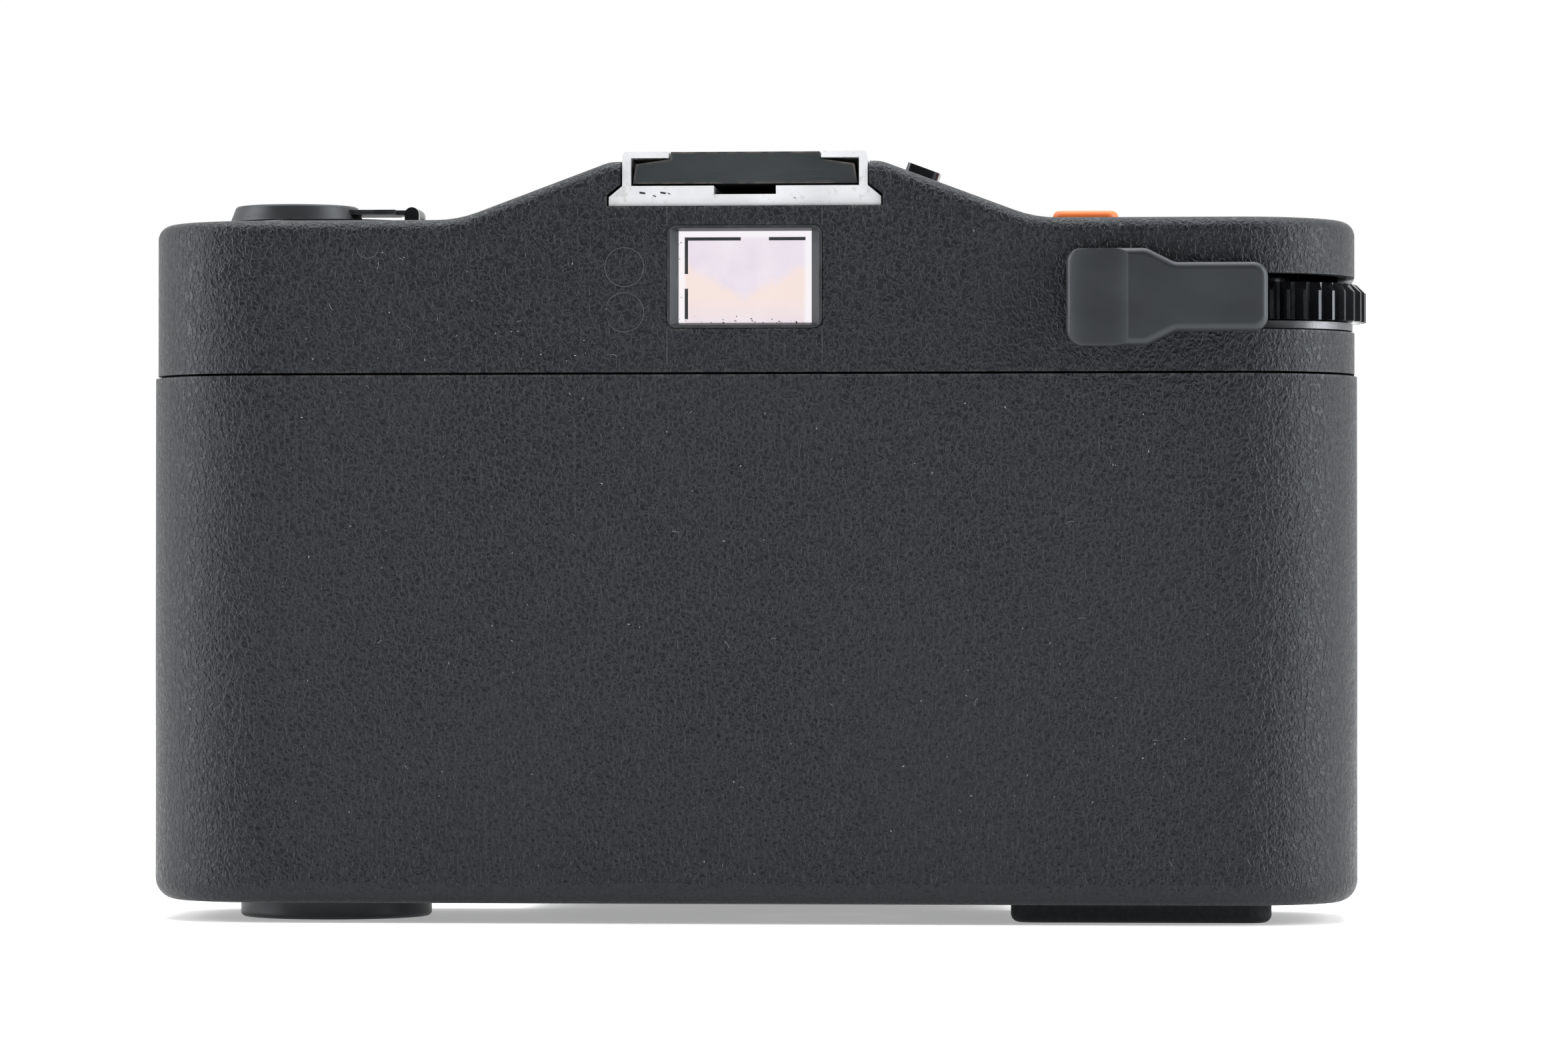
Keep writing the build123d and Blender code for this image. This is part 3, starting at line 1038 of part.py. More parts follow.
def make_blade(side):
    """One shutter blade: a half disc past the middle, on an arm down to its pin."""
    layer = HOUSING_FRONT_Y + SHUTTER_CAVITY / 2 + side * (BLADE_THICKNESS / 2 + BLADE_LAYER_GAP)
    y_low, y_high = layer - BLADE_THICKNESS / 2, layer + BLADE_THICKNESS / 2
    blade = rod_y(0, FILM_CENTRE_Z, y_low, y_high, BLADE_R)
    hidden = -side * BLADE_OVERLAP
    far = -side * (BLADE_R + CUT)
    blade -= block(min(hidden, far), max(hidden, far), y_low - CUT, y_high + CUT,
                   FILM_CENTRE_Z - BLADE_R - CUT, FILM_CENTRE_Z + BLADE_R + CUT)
    pivot_x, pivot_z = side * BLADE_PIVOT_X, FILM_CENTRE_Z - BLADE_PIVOT_DROP
    blade += block(pivot_x - BLADE_EYE_R, pivot_x + BLADE_EYE_R, y_low, y_high,
                   pivot_z, pivot_z + BLADE_ARM_RISE)
    blade += rod_y(pivot_x, pivot_z, y_low, y_high, BLADE_EYE_R)
    blade -= rod_y(pivot_x, pivot_z, y_low - CUT, y_high + CUT, BLADE_PIN_R + RUN)
    return one_solid(blade)


def make_lens_board():
    board = pad_y(0, FILM_CENTRE_Z, HOUSING_WIDTH, HOUSING_HEIGHT, BOARD_FRONT_Y, HOUSING_FRONT_Y,
                  HOUSING_CORNER_R)
    rim = [e for e in board.edges() if abs(e.center().Y - BOARD_FRONT_Y) < FIT]
    board = fillet(rim, BOARD_EDGE_R)
    board += rod_y(0, FILM_CENTRE_Z, BOARD_FRONT_Y - BARREL_LENGTH, BOARD_FRONT_Y, BARREL_R)
    board -= rod_y(0, FILM_CENTRE_Z, BOARD_FRONT_Y - BARREL_LENGTH - CUT, HOUSING_FRONT_Y + CUT,
                   BARREL_BORE_R)
    return one_solid(board)


def knurled_ring(y_low, y_high, radius):
    ring = rod_y(0, FILM_CENTRE_Z, y_low, y_high, radius)
    ring = chamfer([e for e in ring.edges() if abs(e.position_at(0).Y - y_low) < FIT
                    and abs(e.position_at(0.5).Y - y_low) < FIT], RING_CHAMFER)
    cuts = []
    for index in range(KNURL_COUNT):
        angle = 2 * math.pi * index / KNURL_COUNT
        x = radius * math.cos(angle)
        z = FILM_CENTRE_Z + radius * math.sin(angle)
        cuts.append(rod_y(x, z, y_low - CUT, y_high - KNURL_STOP, KNURL_R))
    return ring - cuts


def aperture_span():
    rear = BOARD_FRONT_Y - CLEARANCE
    return rear - APERTURE_RING_LENGTH, rear


def focus_span():
    rear = aperture_span()[0] - CLEARANCE
    return rear - FOCUS_RING_LENGTH, rear


def make_aperture_ring():
    y_low, y_high = aperture_span()
    ring = knurled_ring(y_low, y_high, APERTURE_RING_R)
    return one_solid(ring - rod_y(0, FILM_CENTRE_Z, y_low - CUT, y_high + CUT, BARREL_R + RUN))


def make_focus_ring():
    y_low, y_high = focus_span()
    ring = knurled_ring(y_low, y_high, FOCUS_RING_R)
    ring -= rod_y(0, FILM_CENTRE_Z, y_low + FOCUS_FRONT_WALL, y_high + CUT, BARREL_R + RUN)
    ring -= rod_y(0, FILM_CENTRE_Z, y_low - CUT, y_high + CUT, FRONT_CELL_R)
    return one_solid(ring)


def make_front_cell():
    y_low = focus_span()[0]
    rear = y_low + FOCUS_FRONT_WALL + CELL_REACH
    cell = rod_y(0, FILM_CENTRE_Z, y_low, rear, FRONT_CELL_R)
    bowl = Cone(FRONT_LENS_R - LENS_LIP, FRONT_CELL_R - LENS_LIP, 2 * CELL_BOWL_DEPTH)
    cell -= Pos(0, y_low + CELL_BOWL_DEPTH, FILM_CENTRE_Z) * Rot(90, 0, 0) * bowl
    cell -= rod_y(0, FILM_CENTRE_Z, y_low - CUT, rear + CUT, FRONT_LENS_R - LENS_LIP)
    cell -= rod_y(0, FILM_CENTRE_Z, y_low + LENS_SEAT, rear + CUT, FRONT_LENS_R)
    return one_solid(cell)


def lens_solid(y_front, radius, edge, bulge):
    """A lens with a domed front: an edge band of the given thickness under a spherical cap."""
    sphere_r = (radius ** 2 + bulge ** 2) / (2 * bulge)
    centre = y_front + sphere_r
    dome = Pos(0, centre, FILM_CENTRE_Z) * Sphere(sphere_r)
    return one_solid(dome & rod_y(0, FILM_CENTRE_Z, y_front - CUT, y_front + bulge + edge, radius))


def make_front_lens():
    seat = focus_span()[0] + LENS_SEAT
    dome = lens_solid(seat - LENS_BULGE, FRONT_LENS_R - LENS_LIP, LENS_EDGE, LENS_BULGE)
    band = rod_y(0, FILM_CENTRE_Z, seat, seat + LENS_EDGE, FRONT_LENS_R)
    return one_solid(dome + band)


def make_rear_lens_holder():
    y = BOARD_FRONT_Y - REAR_LENS_SETBACK
    holder = rod_y(0, FILM_CENTRE_Z, y, y + REAR_HOLDER_LENGTH, BARREL_BORE_R)
    return one_solid(holder - rod_y(0, FILM_CENTRE_Z, y - CUT, y + REAR_HOLDER_LENGTH + CUT, REAR_LENS_R))


def make_rear_lens():
    return lens_solid(BOARD_FRONT_Y - REAR_LENS_SETBACK + REAR_LENS_INSET, REAR_LENS_R, LENS_EDGE, LENS_BULGE)


# ---------------------------------------------------------------- base fittings
def make_lock_disc():
    disc = rod_z(REWIND_X, CHAMBER_Y, 0, BASE_Z - FIT, LOCK_R)
    disc = fillet(disc.edges().group_by(Axis.Z)[0], LOCK_EDGE_R)
    cam_low = FLOOR_Z + FIT
    disc += rod_z(REWIND_X, CHAMBER_Y, BASE_Z - CLEARANCE, cam_low + LOCK_CAM_HEIGHT, LOCK_SHAFT_R)
    disc += rod_z(REWIND_X, CHAMBER_Y, cam_low, cam_low + LOCK_CAM_HEIGHT, LOCK_CAM_R)
    recess = rod_z(REWIND_X, CHAMBER_Y, -CUT, KEY_THICKNESS + 2 * KEY_LIFT, KEY_R + FIT)
    recess -= block(REWIND_X - LOCK_R, REWIND_X + LOCK_R, CHAMBER_Y - LOCK_R,
                    LOCK_HINGE_Y - KEY_THICKNESS / 2 - CLEARANCE, -2 * CUT, BASE_Z)
    disc -= recess
    reach = KEY_R + KEY_PIN_END
    return one_solid(disc + rod_x(LOCK_HINGE_Y, KEY_PIN_Z, REWIND_X - reach, REWIND_X + reach, KEY_PIN_R))


def make_lock_key():
    """The half-moon finger key that folds out of the disc's underside."""
    low, high = KEY_LIFT, KEY_LIFT + KEY_THICKNESS
    radius = KEY_R - FIT
    key = rod_z(REWIND_X, CHAMBER_Y, low, high, radius)
    key -= block(REWIND_X - LOCK_R, REWIND_X + LOCK_R, CHAMBER_Y - LOCK_R, LOCK_HINGE_Y,
                 low - CUT, high + CUT)
    half = math.sqrt(radius ** 2 - KEY_HINGE_OFFSET ** 2) - FIT
    key += rod_x(LOCK_HINGE_Y, KEY_PIN_Z, REWIND_X - half, REWIND_X + half, KEY_THICKNESS / 2)
    key -= rod_x(LOCK_HINGE_Y, KEY_PIN_Z, REWIND_X - LOCK_R, REWIND_X + LOCK_R, KEY_PIN_R + RUN)
    return one_solid(key)


def make_foot_pad():
    pad = pad_z(PAD_X, CHAMBER_Y, PAD_WIDTH, PAD_DEPTH, 0, BASE_Z, PAD_CORNER_R)
    pad = fillet(pad.edges().group_by(Axis.Z)[0], PAD_EDGE_R)
    pad -= rod_z(TRIPOD_X, CHAMBER_Y, -CUT, BASE_Z + CUT, TRIPOD_BUSH_R)
    pad -= rod_z(REWIND_BUTTON_X, CHAMBER_Y, -CUT, BASE_Z + CUT, REWIND_BUTTON_R + FIT)
    return one_solid(pad)


def make_tripod_bush():
    low = TRIPOD_BUSH_SET_IN
    high = low + TRIPOD_BUSH_LENGTH
    bush = rod_z(TRIPOD_X, CHAMBER_Y, low, high, TRIPOD_BUSH_R)
    return one_solid(bush - rod_z(TRIPOD_X, CHAMBER_Y, -CUT, high - TRIPOD_BUSH_END, TRIPOD_R))


def make_rewind_button():
    flange_low = FLOOR_Z + REWIND_BUTTON_PLAY
    flange_high = flange_low + REWIND_BUTTON_FLANGE
    button = rod_z(REWIND_BUTTON_X, CHAMBER_Y, REWIND_BUTTON_SET_IN, flange_high, REWIND_BUTTON_R)
    flange_r = REWIND_BUTTON_R + REWIND_BUTTON_FLANGE
    return one_solid(button + rod_z(REWIND_BUTTON_X, CHAMBER_Y, flange_low, flange_high, flange_r))


def make_iso_dial():
    low = BASE_Z + ISO_SET_IN
    dial = rod_z(ISO_X, CHAMBER_Y, low, CHASSIS_Z + ISO_HEIGHT - RUN, ISO_R)
    half = ISO_R - COIN_SLOT_END
    dial -= block(ISO_X - half, ISO_X + half, CHAMBER_Y - COIN_SLOT_WIDTH / 2,
                  CHAMBER_Y + COIN_SLOT_WIDTH / 2, low - CUT, low + COIN_SLOT_DEPTH)
    return one_solid(dial)


# ---------------------------------------------------------------- pressure plate


def make_pressure_plate():
    return one_solid(pad_y(0, FILM_CENTRE_Z, PLATE_WIDTH, PLATE_HEIGHT, PLATE_Y, PLATE_Y + PLATE_THICKNESS,
                           PLATE_CORNER_R))


def make_plate_spring():
    y_low = PLATE_Y + PLATE_THICKNESS + PLATE_TRAVEL + PLATE_SPRING_PLAY
    y_high = BACK_Y - SHELL_WALL
    z_low, z_high = FILM_CENTRE_Z - PLATE_SPRING_HEIGHT / 2, FILM_CENTRE_Z + PLATE_SPRING_HEIGHT / 2
    foot, half, stem = PLATE_SPRING_FOOT / 2, PLATE_SPRING_LENGTH / 2, PLATE_SPRING_STEM / 2
    spring = block(-foot, foot, y_high - PLATE_SPRING_STOCK, y_high, z_low, z_high)
    spring += block(-half, half, y_low, y_low + PLATE_SPRING_STOCK, z_low, z_high)
    return one_solid(spring + block(-stem, stem, y_low, y_high, z_low, z_high))


NODES = {
    "main_chassis": make_chassis(),
    "front_panel": make_front_panel(),
    "top_cover": make_top_cover(),
    "eyepiece_frame": make_eyepiece_frame(),
    "eyepiece_lens": make_eyepiece_lens(),
    "finder_tunnel": make_finder_tunnel(),
    "finder_objective": make_finder_objective(),
    "finder_window": make_finder_window(),
    "meter_window": make_meter_window(),
    "meter_cell": make_meter_cell(),
    "counter_window": make_counter_window(),
    "accessory_shoe": make_accessory_shoe(),
    "shoe_screws": make_shoe_screws(),
    "circuit_board": make_circuit_board(),
    "deck_screws": make_deck_screws(),
    "battery": make_battery(),
    "battery_cap": make_battery_cap(),
    "door_pin": make_door_pin(),
    "back_shell": make_back_shell(),
    "foot_pad": make_foot_pad(),
    "tripod_bush": make_tripod_bush(),
    "plate_spring": make_plate_spring(),
    "pressure_plate": make_pressure_plate(),
    "rewind_button": make_rewind_button(),
    "iso_dial": make_iso_dial(),
    "lock_disc": make_lock_disc(),
    "lock_key": make_lock_key(),
    "shoe_cover": make_shoe_cover(),
    "wind_lever": make_wind_lever(),
    "wind_wheel": make_wind_wheel(),
    "lever_washer": make_lever_washer(),
    "takeup_spool": make_takeup_spool(),
    "sprocket": make_sprocket(),
    "counter_dial": make_counter_dial(),
    "rewind_spindle": make_rewind_spindle(),
    "crank_arm": make_crank_arm(),
    "crank_grip": make_crank_grip(),
    "shutter_button": make_shutter_button(),
    "timer_switch": make_timer_switch(),
    "front_door": make_front_door(),
    "door_liner": make_door_liner(),
    "lens_housing": make_lens_housing(),
    "shutter_blade_left": make_blade(-1),
    "shutter_blade_right": make_blade(1),
    "lens_board": make_lens_board(),
    "rear_lens_holder": make_rear_lens_holder(),
    "rear_lens": make_rear_lens(),
    "aperture_ring": make_aperture_ring(),
    "focus_ring": make_focus_ring(),
    "front_cell": make_front_cell(),
    "front_lens": make_front_lens(),
}

os.makedirs("parts", exist_ok=True)
for node, shape in NODES.items():
    export_step(shape, f"parts/{node}.step")
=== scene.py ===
import math
import random

import bmesh
import bpy
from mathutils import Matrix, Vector


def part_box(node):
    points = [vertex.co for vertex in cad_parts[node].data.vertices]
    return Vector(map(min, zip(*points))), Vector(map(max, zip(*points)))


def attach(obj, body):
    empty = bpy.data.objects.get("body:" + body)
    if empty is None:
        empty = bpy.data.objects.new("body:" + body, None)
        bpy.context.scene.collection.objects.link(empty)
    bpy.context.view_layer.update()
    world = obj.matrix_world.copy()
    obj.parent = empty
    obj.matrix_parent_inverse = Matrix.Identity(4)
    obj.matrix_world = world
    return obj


MM = 0.001
random.seed(7)

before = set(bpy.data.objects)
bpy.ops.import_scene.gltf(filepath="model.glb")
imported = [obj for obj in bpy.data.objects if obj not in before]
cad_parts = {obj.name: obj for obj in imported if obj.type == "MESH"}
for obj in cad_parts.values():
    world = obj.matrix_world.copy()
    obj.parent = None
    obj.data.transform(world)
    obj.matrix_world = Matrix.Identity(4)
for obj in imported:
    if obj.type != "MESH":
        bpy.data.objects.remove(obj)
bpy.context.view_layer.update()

# Places on the object, read from the bounds of the parts in model.glb.
BACK_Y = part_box("back_shell")[1].y
cover_low, cover_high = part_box("top_cover")
SEAM_Z = cover_low.z
glass_low, glass_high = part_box("eyepiece_lens")


# ---------------------------------------------------------------- material kit
# How far the rounded normal leans from the true one: no edge wear at the first, full wear at the second.
FLAT_COSINE = 0.985
SHARP_COSINE = 0.86


class Nodes:
    """A short way to write a node material."""

    def __init__(self, name):
        self.material = bpy.data.materials.new(name)
        self.material.use_nodes = True
        self.tree = self.material.node_tree
        self.shader = self.tree.nodes["Principled BSDF"]

    def add(self, kind, **settings):
        node = self.tree.nodes.new(kind)
        for key, value in settings.items():
            if hasattr(node, key):
                setattr(node, key, value)
            else:
                node.inputs[key.replace("_", " ")].default_value = value
        return node

    def link(self, source, target):
        self.tree.links.new(source, target)

    def place(self, stretch=(1, 1, 1)):
        coordinates = self.add("ShaderNodeTexCoord")
        mapping = self.add("ShaderNodeMapping")
        mapping.inputs["Scale"].default_value = stretch
        self.link(coordinates.outputs["Object"], mapping.inputs["Vector"])
        return mapping.outputs["Vector"]

    def noise(self, size_mm, detail=3.0, distortion=0.0, stretch=(1, 1, 1), roughness=0.5):
        node = self.add("ShaderNodeTexNoise", Detail=detail, Distortion=distortion, Roughness=roughness)
        node.inputs["Scale"].default_value = 1 / (size_mm * MM)
        self.link(self.place(stretch), node.inputs["Vector"])
        return node.outputs["Fac"]

    def cells(self, size_mm):
        node = self.add("ShaderNodeTexVoronoi")
        node.inputs["Scale"].default_value = 1 / (size_mm * MM)
        self.link(self.place(), node.inputs["Vector"])
        return node.outputs["Distance"]

    def remap(self, value, low, high, to_low=0.0, to_high=1.0):
        node = self.add("ShaderNodeMapRange", clamp=True)
        for key, number in (("From Min", low), ("From Max", high), ("To Min", to_low), ("To Max", to_high)):
            node.inputs[key].default_value = number
        self.link(value, node.inputs["Value"])
        return node.outputs["Result"]

    def math(self, operation, first, second):
        node = self.add("ShaderNodeMath", operation=operation)
        for index, value in enumerate((first, second)):
            if isinstance(value, (int, float)):
                node.inputs[index].default_value = value
            else:
                self.link(value, node.inputs[index])
        return node.outputs[0]

    def mix(self, factor, first, second):
        node = self.add("ShaderNodeMix", data_type="RGBA")
        for index, value in ((6, first), (7, second)):
            if isinstance(value, tuple):
                node.inputs[index].default_value = (*value, 1)
            else:
                self.link(value, node.inputs[index])
        self.link(factor, node.inputs[0])
        return node.outputs[2]

    def edges(self, radius_mm):
        """Near 1 along sharp edges and 0 on flats, for worn corners."""
        bevel = self.add("ShaderNodeBevel", samples=4)
        bevel.inputs["Radius"].default_value = radius_mm * MM
        geometry = self.add("ShaderNodeNewGeometry")
        dot = self.add("ShaderNodeVectorMath", operation="DOT_PRODUCT")
        self.link(bevel.outputs["Normal"], dot.inputs[0])
        self.link(geometry.outputs["Normal"], dot.inputs[1])
        return self.remap(dot.outputs["Value"], FLAT_COSINE, SHARP_COSINE)

    def bump(self, height, depth_mm):
        node = self.add("ShaderNodeBump")
        node.inputs["Strength"].default_value = 1.0
        node.inputs["Distance"].default_value = depth_mm * MM
        self.link(height, node.inputs["Height"])
        return node.outputs["Normal"]

    def finish(self, colour=None, roughness=None, normal=None, **plain):
        for socket, value in (("Base Color", colour), ("Roughness", roughness), ("Normal", normal)):
            if value is None:
                continue
            if isinstance(value, tuple):
                self.shader.inputs[socket].default_value = (*value, 1)
            elif isinstance(value, (int, float)):
                self.shader.inputs[socket].default_value = value
            else:
                self.link(value, self.shader.inputs[socket])
        for key, value in plain.items():
            self.shader.inputs[key.replace("_", " ")].default_value = value
        return self.material


COOL_SHEEN = (0.86, 0.93, 1.0, 1.0)
MOULDED_SHEEN = 0.38
DUST_COLOUR = (0.28, 0.28, 0.27)
DUST_STRENGTH = 0.35
WORN_EDGE_MM = 0.5
RUBBED_EDGE_MM = 0.35
SHELL_DARK = (0.0050, 0.0056, 0.0068)
SHELL_LIGHT = (0.0078, 0.0084, 0.0096)


def moulded_plastic(name, dark, light, grain_mm, relief_mm, rough, wear=0.3, worn=(0.13, 0.125, 0.12)):
    """Moulded plastic: pebbled grain, a little dust in it, and edges rubbed to a paler sheen."""
    n = Nodes(name)
    pebbles = n.noise(grain_mm, detail=2.0, distortion=0.9, stretch=(1.15, 1.15, 0.75), roughness=0.45)
    pebbles = n.remap(pebbles, 0.36, 0.62)
    fine = n.noise(grain_mm * 0.28, detail=2.0)
    broad = n.noise(16, detail=3.0, stretch=(1, 1, 0.6))
    edge = n.edges(WORN_EDGE_MM)
    patch = n.remap(n.noise(1.6, detail=4.0), 0.42, 0.62)
    rub = n.math("MULTIPLY", n.math("MULTIPLY", edge, patch), wear)
    height = n.math("ADD", n.math("MULTIPLY", pebbles, 0.85), n.math("MULTIPLY", fine, 0.15))
    colour = n.mix(n.remap(broad, 0.3, 0.7), dark, light)
    speck = n.remap(n.cells(2.3), 0.055, 0.035)
    speck = n.math("MULTIPLY", speck, n.remap(n.noise(5, detail=2.0), 0.58, 0.66))
    colour = n.mix(n.math("MULTIPLY", speck, DUST_STRENGTH), colour, DUST_COLOUR)
    colour = n.mix(rub, colour, worn)
    gloss = n.remap(pebbles, 0.0, 1.0, rough + 0.06, rough - 0.06)
    gloss = n.math("ADD", gloss, n.remap(broad, 0.3, 0.7, -0.03, 0.03))
    gloss = n.math("SUBTRACT", gloss, n.math("MULTIPLY", rub, 0.12))
    return n.finish(colour, gloss, n.bump(height, relief_mm), Specular_Tint=COOL_SHEEN,
                    Specular_IOR_Level=MOULDED_SHEEN)


def smooth_plastic(name, colour, rough, scratch=0.4, wear=0.25, worn=(0.12, 0.12, 0.12)):
    """Smooth plastic: faint flow marks, hairline scratches and lightly rubbed edges."""
    n = Nodes(name)
    flow = n.noise(3.5, detail=4.0, stretch=(0.5, 0.5, 1))
    tiny = n.noise(0.12, detail=3.0)
    hair = n.remap(n.noise(0.5, detail=2.0, stretch=(0.12, 0.12, 2.4)), 0.62, 0.72)
    edge = n.edges(RUBBED_EDGE_MM)
    patch = n.remap(n.noise(0.9, detail=4.0), 0.4, 0.65)
    rub = n.math("MULTIPLY", n.math("MULTIPLY", edge, patch), wear)
    lighter = tuple(channel * 1.35 + 0.004 for channel in colour)
    shade = n.mix(n.remap(flow, 0.3, 0.7), colour, lighter)
    shade = n.mix(rub, shade, worn)
    gloss = n.math("ADD", n.remap(flow, 0.3, 0.7, rough - 0.05, rough + 0.05),
                   n.math("MULTIPLY", hair, 0.1 * scratch))
    height = n.math("ADD", n.math("MULTIPLY", tiny, 0.6), n.math("MULTIPLY", hair, -scratch))
    return n.finish(shade, gloss, n.bump(height, 0.006), Specular_Tint=COOL_SHEEN)


def metal(name, colour, rough, grain=(1, 1, 1), blast_mm=0.12, relief=0.006, wear_tint=None, metallic=1.0):
    """Bare or plated metal: blasted or brushed grain, cloudy roughness and a few stains."""
    n = Nodes(name)
    cloud = n.noise(4, detail=4.0)
    blast = n.noise(blast_mm, detail=2.0, stretch=grain)
    darker = tuple(channel * 0.86 for channel in colour)
    shade = n.mix(n.remap(cloud, 0.3, 0.7), darker, colour)
    if wear_tint is not None:
        stain = n.math("MULTIPLY", n.remap(n.noise(0.8, detail=5.0), 0.6, 0.72), 0.7)
        shade = n.mix(stain, shade, wear_tint)
    gloss = n.math("ADD", n.remap(cloud, 0.3, 0.7, rough - 0.06, rough + 0.06),
                   n.remap(blast, 0.3, 0.7, -0.04, 0.04))
    return n.finish(shade, gloss, n.bump(blast, relief), Metallic=metallic)


def clear_glass(name, tint, coat=(0.4, 0.3, 0.7), rough=0.02):
    """Optical glass: a coated surface with a breath of dust."""
    n = Nodes(name)
    dust = n.remap(n.noise(0.6, detail=5.0), 0.55, 0.75)
    smear = n.noise(3, detail=3.0)
    gloss = n.math("ADD", n.remap(smear, 0.3, 0.7, rough, rough + 0.03), n.math("MULTIPLY", dust, 0.06))
    shade = n.mix(n.math("MULTIPLY", dust, 0.25), tint, (0.8, 0.8, 0.8))
    return n.finish(shade, gloss, n.bump(smear, 0.001), Transmission_Weight=1.0, IOR=1.5,
                    Coat_Weight=0.6, Coat_Roughness=0.03, Coat_Tint=(*coat, 1))


def eyepiece_view():
    """The finder's eyepiece as a painted glow that emits the view through the finder: lavender, with painted
    whiter light at its rim and a painted warm glow low in the middle.
    """
    n = Nodes("eyepiece_view")
    centre = (glass_low + glass_high) / 2
    coordinates = n.add("ShaderNodeTexCoord")
    split = n.add("ShaderNodeSeparateXYZ")
    n.link(coordinates.outputs["Object"], split.inputs[0])
    half_width = (glass_high.x - glass_low.x) / 2
    half_height = (glass_high.z - glass_low.z) / 2
    across = n.math("DIVIDE", n.math("SUBTRACT", split.outputs["X"], centre.x), half_width)
    across = n.math("ABSOLUTE", across, 0.0)
    up = n.math("DIVIDE", n.math("SUBTRACT", split.outputs["Z"], centre.z), half_height)
    wave = n.remap(n.noise(1.6, detail=3.0, distortion=0.5), 0.3, 0.7, -0.09, 0.09)
    valley = n.math("ADD", n.math("SUBTRACT", n.math("MULTIPLY", across, 0.75), 0.52), wave)
    warm = n.math("MULTIPLY", n.remap(n.math("SUBTRACT", up, valley), 0.22, -0.02),
                  n.remap(up, -1.0, -0.45, 0.25, 1.0))
    # Painted highlight: the glow turns whiter towards the sides and the top of the glass.
    rim = n.math("MAXIMUM", n.remap(across, 0.86, 0.93), n.remap(up, 0.82, 0.9))
    haze = n.remap(n.noise(2.5, detail=4.0), 0.3, 0.7)
    lavender = n.mix(haze, (0.78, 0.70, 0.79), (0.84, 0.77, 0.85))
    colour = n.mix(n.math("MULTIPLY", warm, 0.8), lavender, (0.92, 0.75, 0.68))
    colour = n.mix(n.math("MULTIPLY", rim, 0.8), colour, (0.93, 0.91, 0.94))
    # Painted glow: the view's colour is emitted, though the eyepiece is no lamp.
    n.link(colour, n.shader.inputs["Emission Color"])
    return n.finish((0.02, 0.02, 0.02), n.remap(haze, 0, 1, 0.10, 0.16), n.bump(haze, 0.001),
                    Emission_Strength=1.0)


def laminate():
    """The circuit board's green laminate, with the weave of its glass cloth."""
    n = Nodes("board_laminate")
    weave = n.noise(0.5, detail=2.0, stretch=(1, 0.3, 1))
    colour = n.mix(n.remap(weave, 0.35, 0.65), (0.02, 0.11, 0.04), (0.03, 0.16, 0.06))
    return n.finish(colour, n.remap(weave, 0.3, 0.7, 0.35, 0.5), n.bump(weave, 0.01))


MATERIALS = {
    "body": moulded_plastic("body_moulding", SHELL_DARK, SHELL_LIGHT,
                            grain_mm=0.40, relief_mm=0.085, rough=0.42),
    "cover": moulded_plastic("cover_moulding", SHELL_DARK, SHELL_LIGHT,
                             grain_mm=0.40, relief_mm=0.075, rough=0.40),
    "inner": moulded_plastic("inner_moulding", (0.008, 0.008, 0.008), (0.012, 0.012, 0.012),
                             grain_mm=0.8, relief_mm=0.02, rough=0.62),
    "control": smooth_plastic("control_plastic", (0.012, 0.012, 0.013), rough=0.42),
    "shoe_cover": smooth_plastic("shoe_cover_plastic", (0.014, 0.016, 0.016), rough=0.50,
                                 scratch=0.8, wear=0.9, worn=(0.16, 0.13, 0.11)),
    "lever": smooth_plastic("lever_plastic", (0.013, 0.0145, 0.016), rough=0.44, scratch=0.3, wear=0.3),
    "gloss": smooth_plastic("gloss_plastic", (0.006, 0.006, 0.007), rough=0.16, scratch=0.2, wear=0.1),
    "orange": smooth_plastic("orange_plastic", (0.80, 0.17, 0.035), rough=0.45,
                             scratch=0.3, wear=0.3, worn=(0.9, 0.36, 0.16)),
    "pad": moulded_plastic("pad_rubber", (0.006, 0.006, 0.006), (0.01, 0.01, 0.01),
                           grain_mm=0.5, relief_mm=0.03, rough=0.7, wear=0.2),
    "shoe": metal("shoe_metal", (0.78, 0.79, 0.81), rough=0.40, blast_mm=0.16, relief=0.010,
                  wear_tint=(0.50, 0.49, 0.48), metallic=0.3),
    "steel": metal("steel", (0.55, 0.55, 0.56), rough=0.3, grain=(0.3, 1, 1)),
    "black_metal": smooth_plastic("black_metal", (0.02, 0.02, 0.022), rough=0.34,
                                  scratch=0.6, wear=0.4, worn=(0.3, 0.3, 0.3)),
    "washer": metal("washer_metal", (0.16, 0.165, 0.175), rough=0.42, grain=(1, 1, 0.2)),
    "dial": metal("dial_metal", (0.66, 0.66, 0.64), rough=0.35, grain=(0.3, 1, 1)),
    "board": laminate(),
    "finder_glass": clear_glass("finder_glass", (0.9, 0.88, 0.93), rough=0.01),
    "lens_glass": clear_glass("lens_glass", (0.75, 0.72, 0.9), coat=(0.5, 0.35, 0.85)),
    "eyepiece": eyepiece_view(),
    "paint": smooth_plastic("dial_paint", (0.72, 0.72, 0.70), rough=0.5,
                            scratch=0.2, wear=0.1, worn=(0.5, 0.5, 0.5)),
    "orange_paint": smooth_plastic("orange_paint", (0.70, 0.16, 0.03), rough=0.5,
                                   scratch=0.2, wear=0.1, worn=(0.6, 0.3, 0.2)),
    "dust": smooth_plastic("dust", (0.26, 0.26, 0.25), rough=0.8, scratch=0.1, wear=0.1),
    "line": smooth_plastic("parting_line", (0.050, 0.052, 0.056), rough=0.45, scratch=0.1, wear=0.1),
    "speck": smooth_plastic("dark_specks", (0.006, 0.006, 0.006), rough=0.6, scratch=0.1, wear=0.1),
}

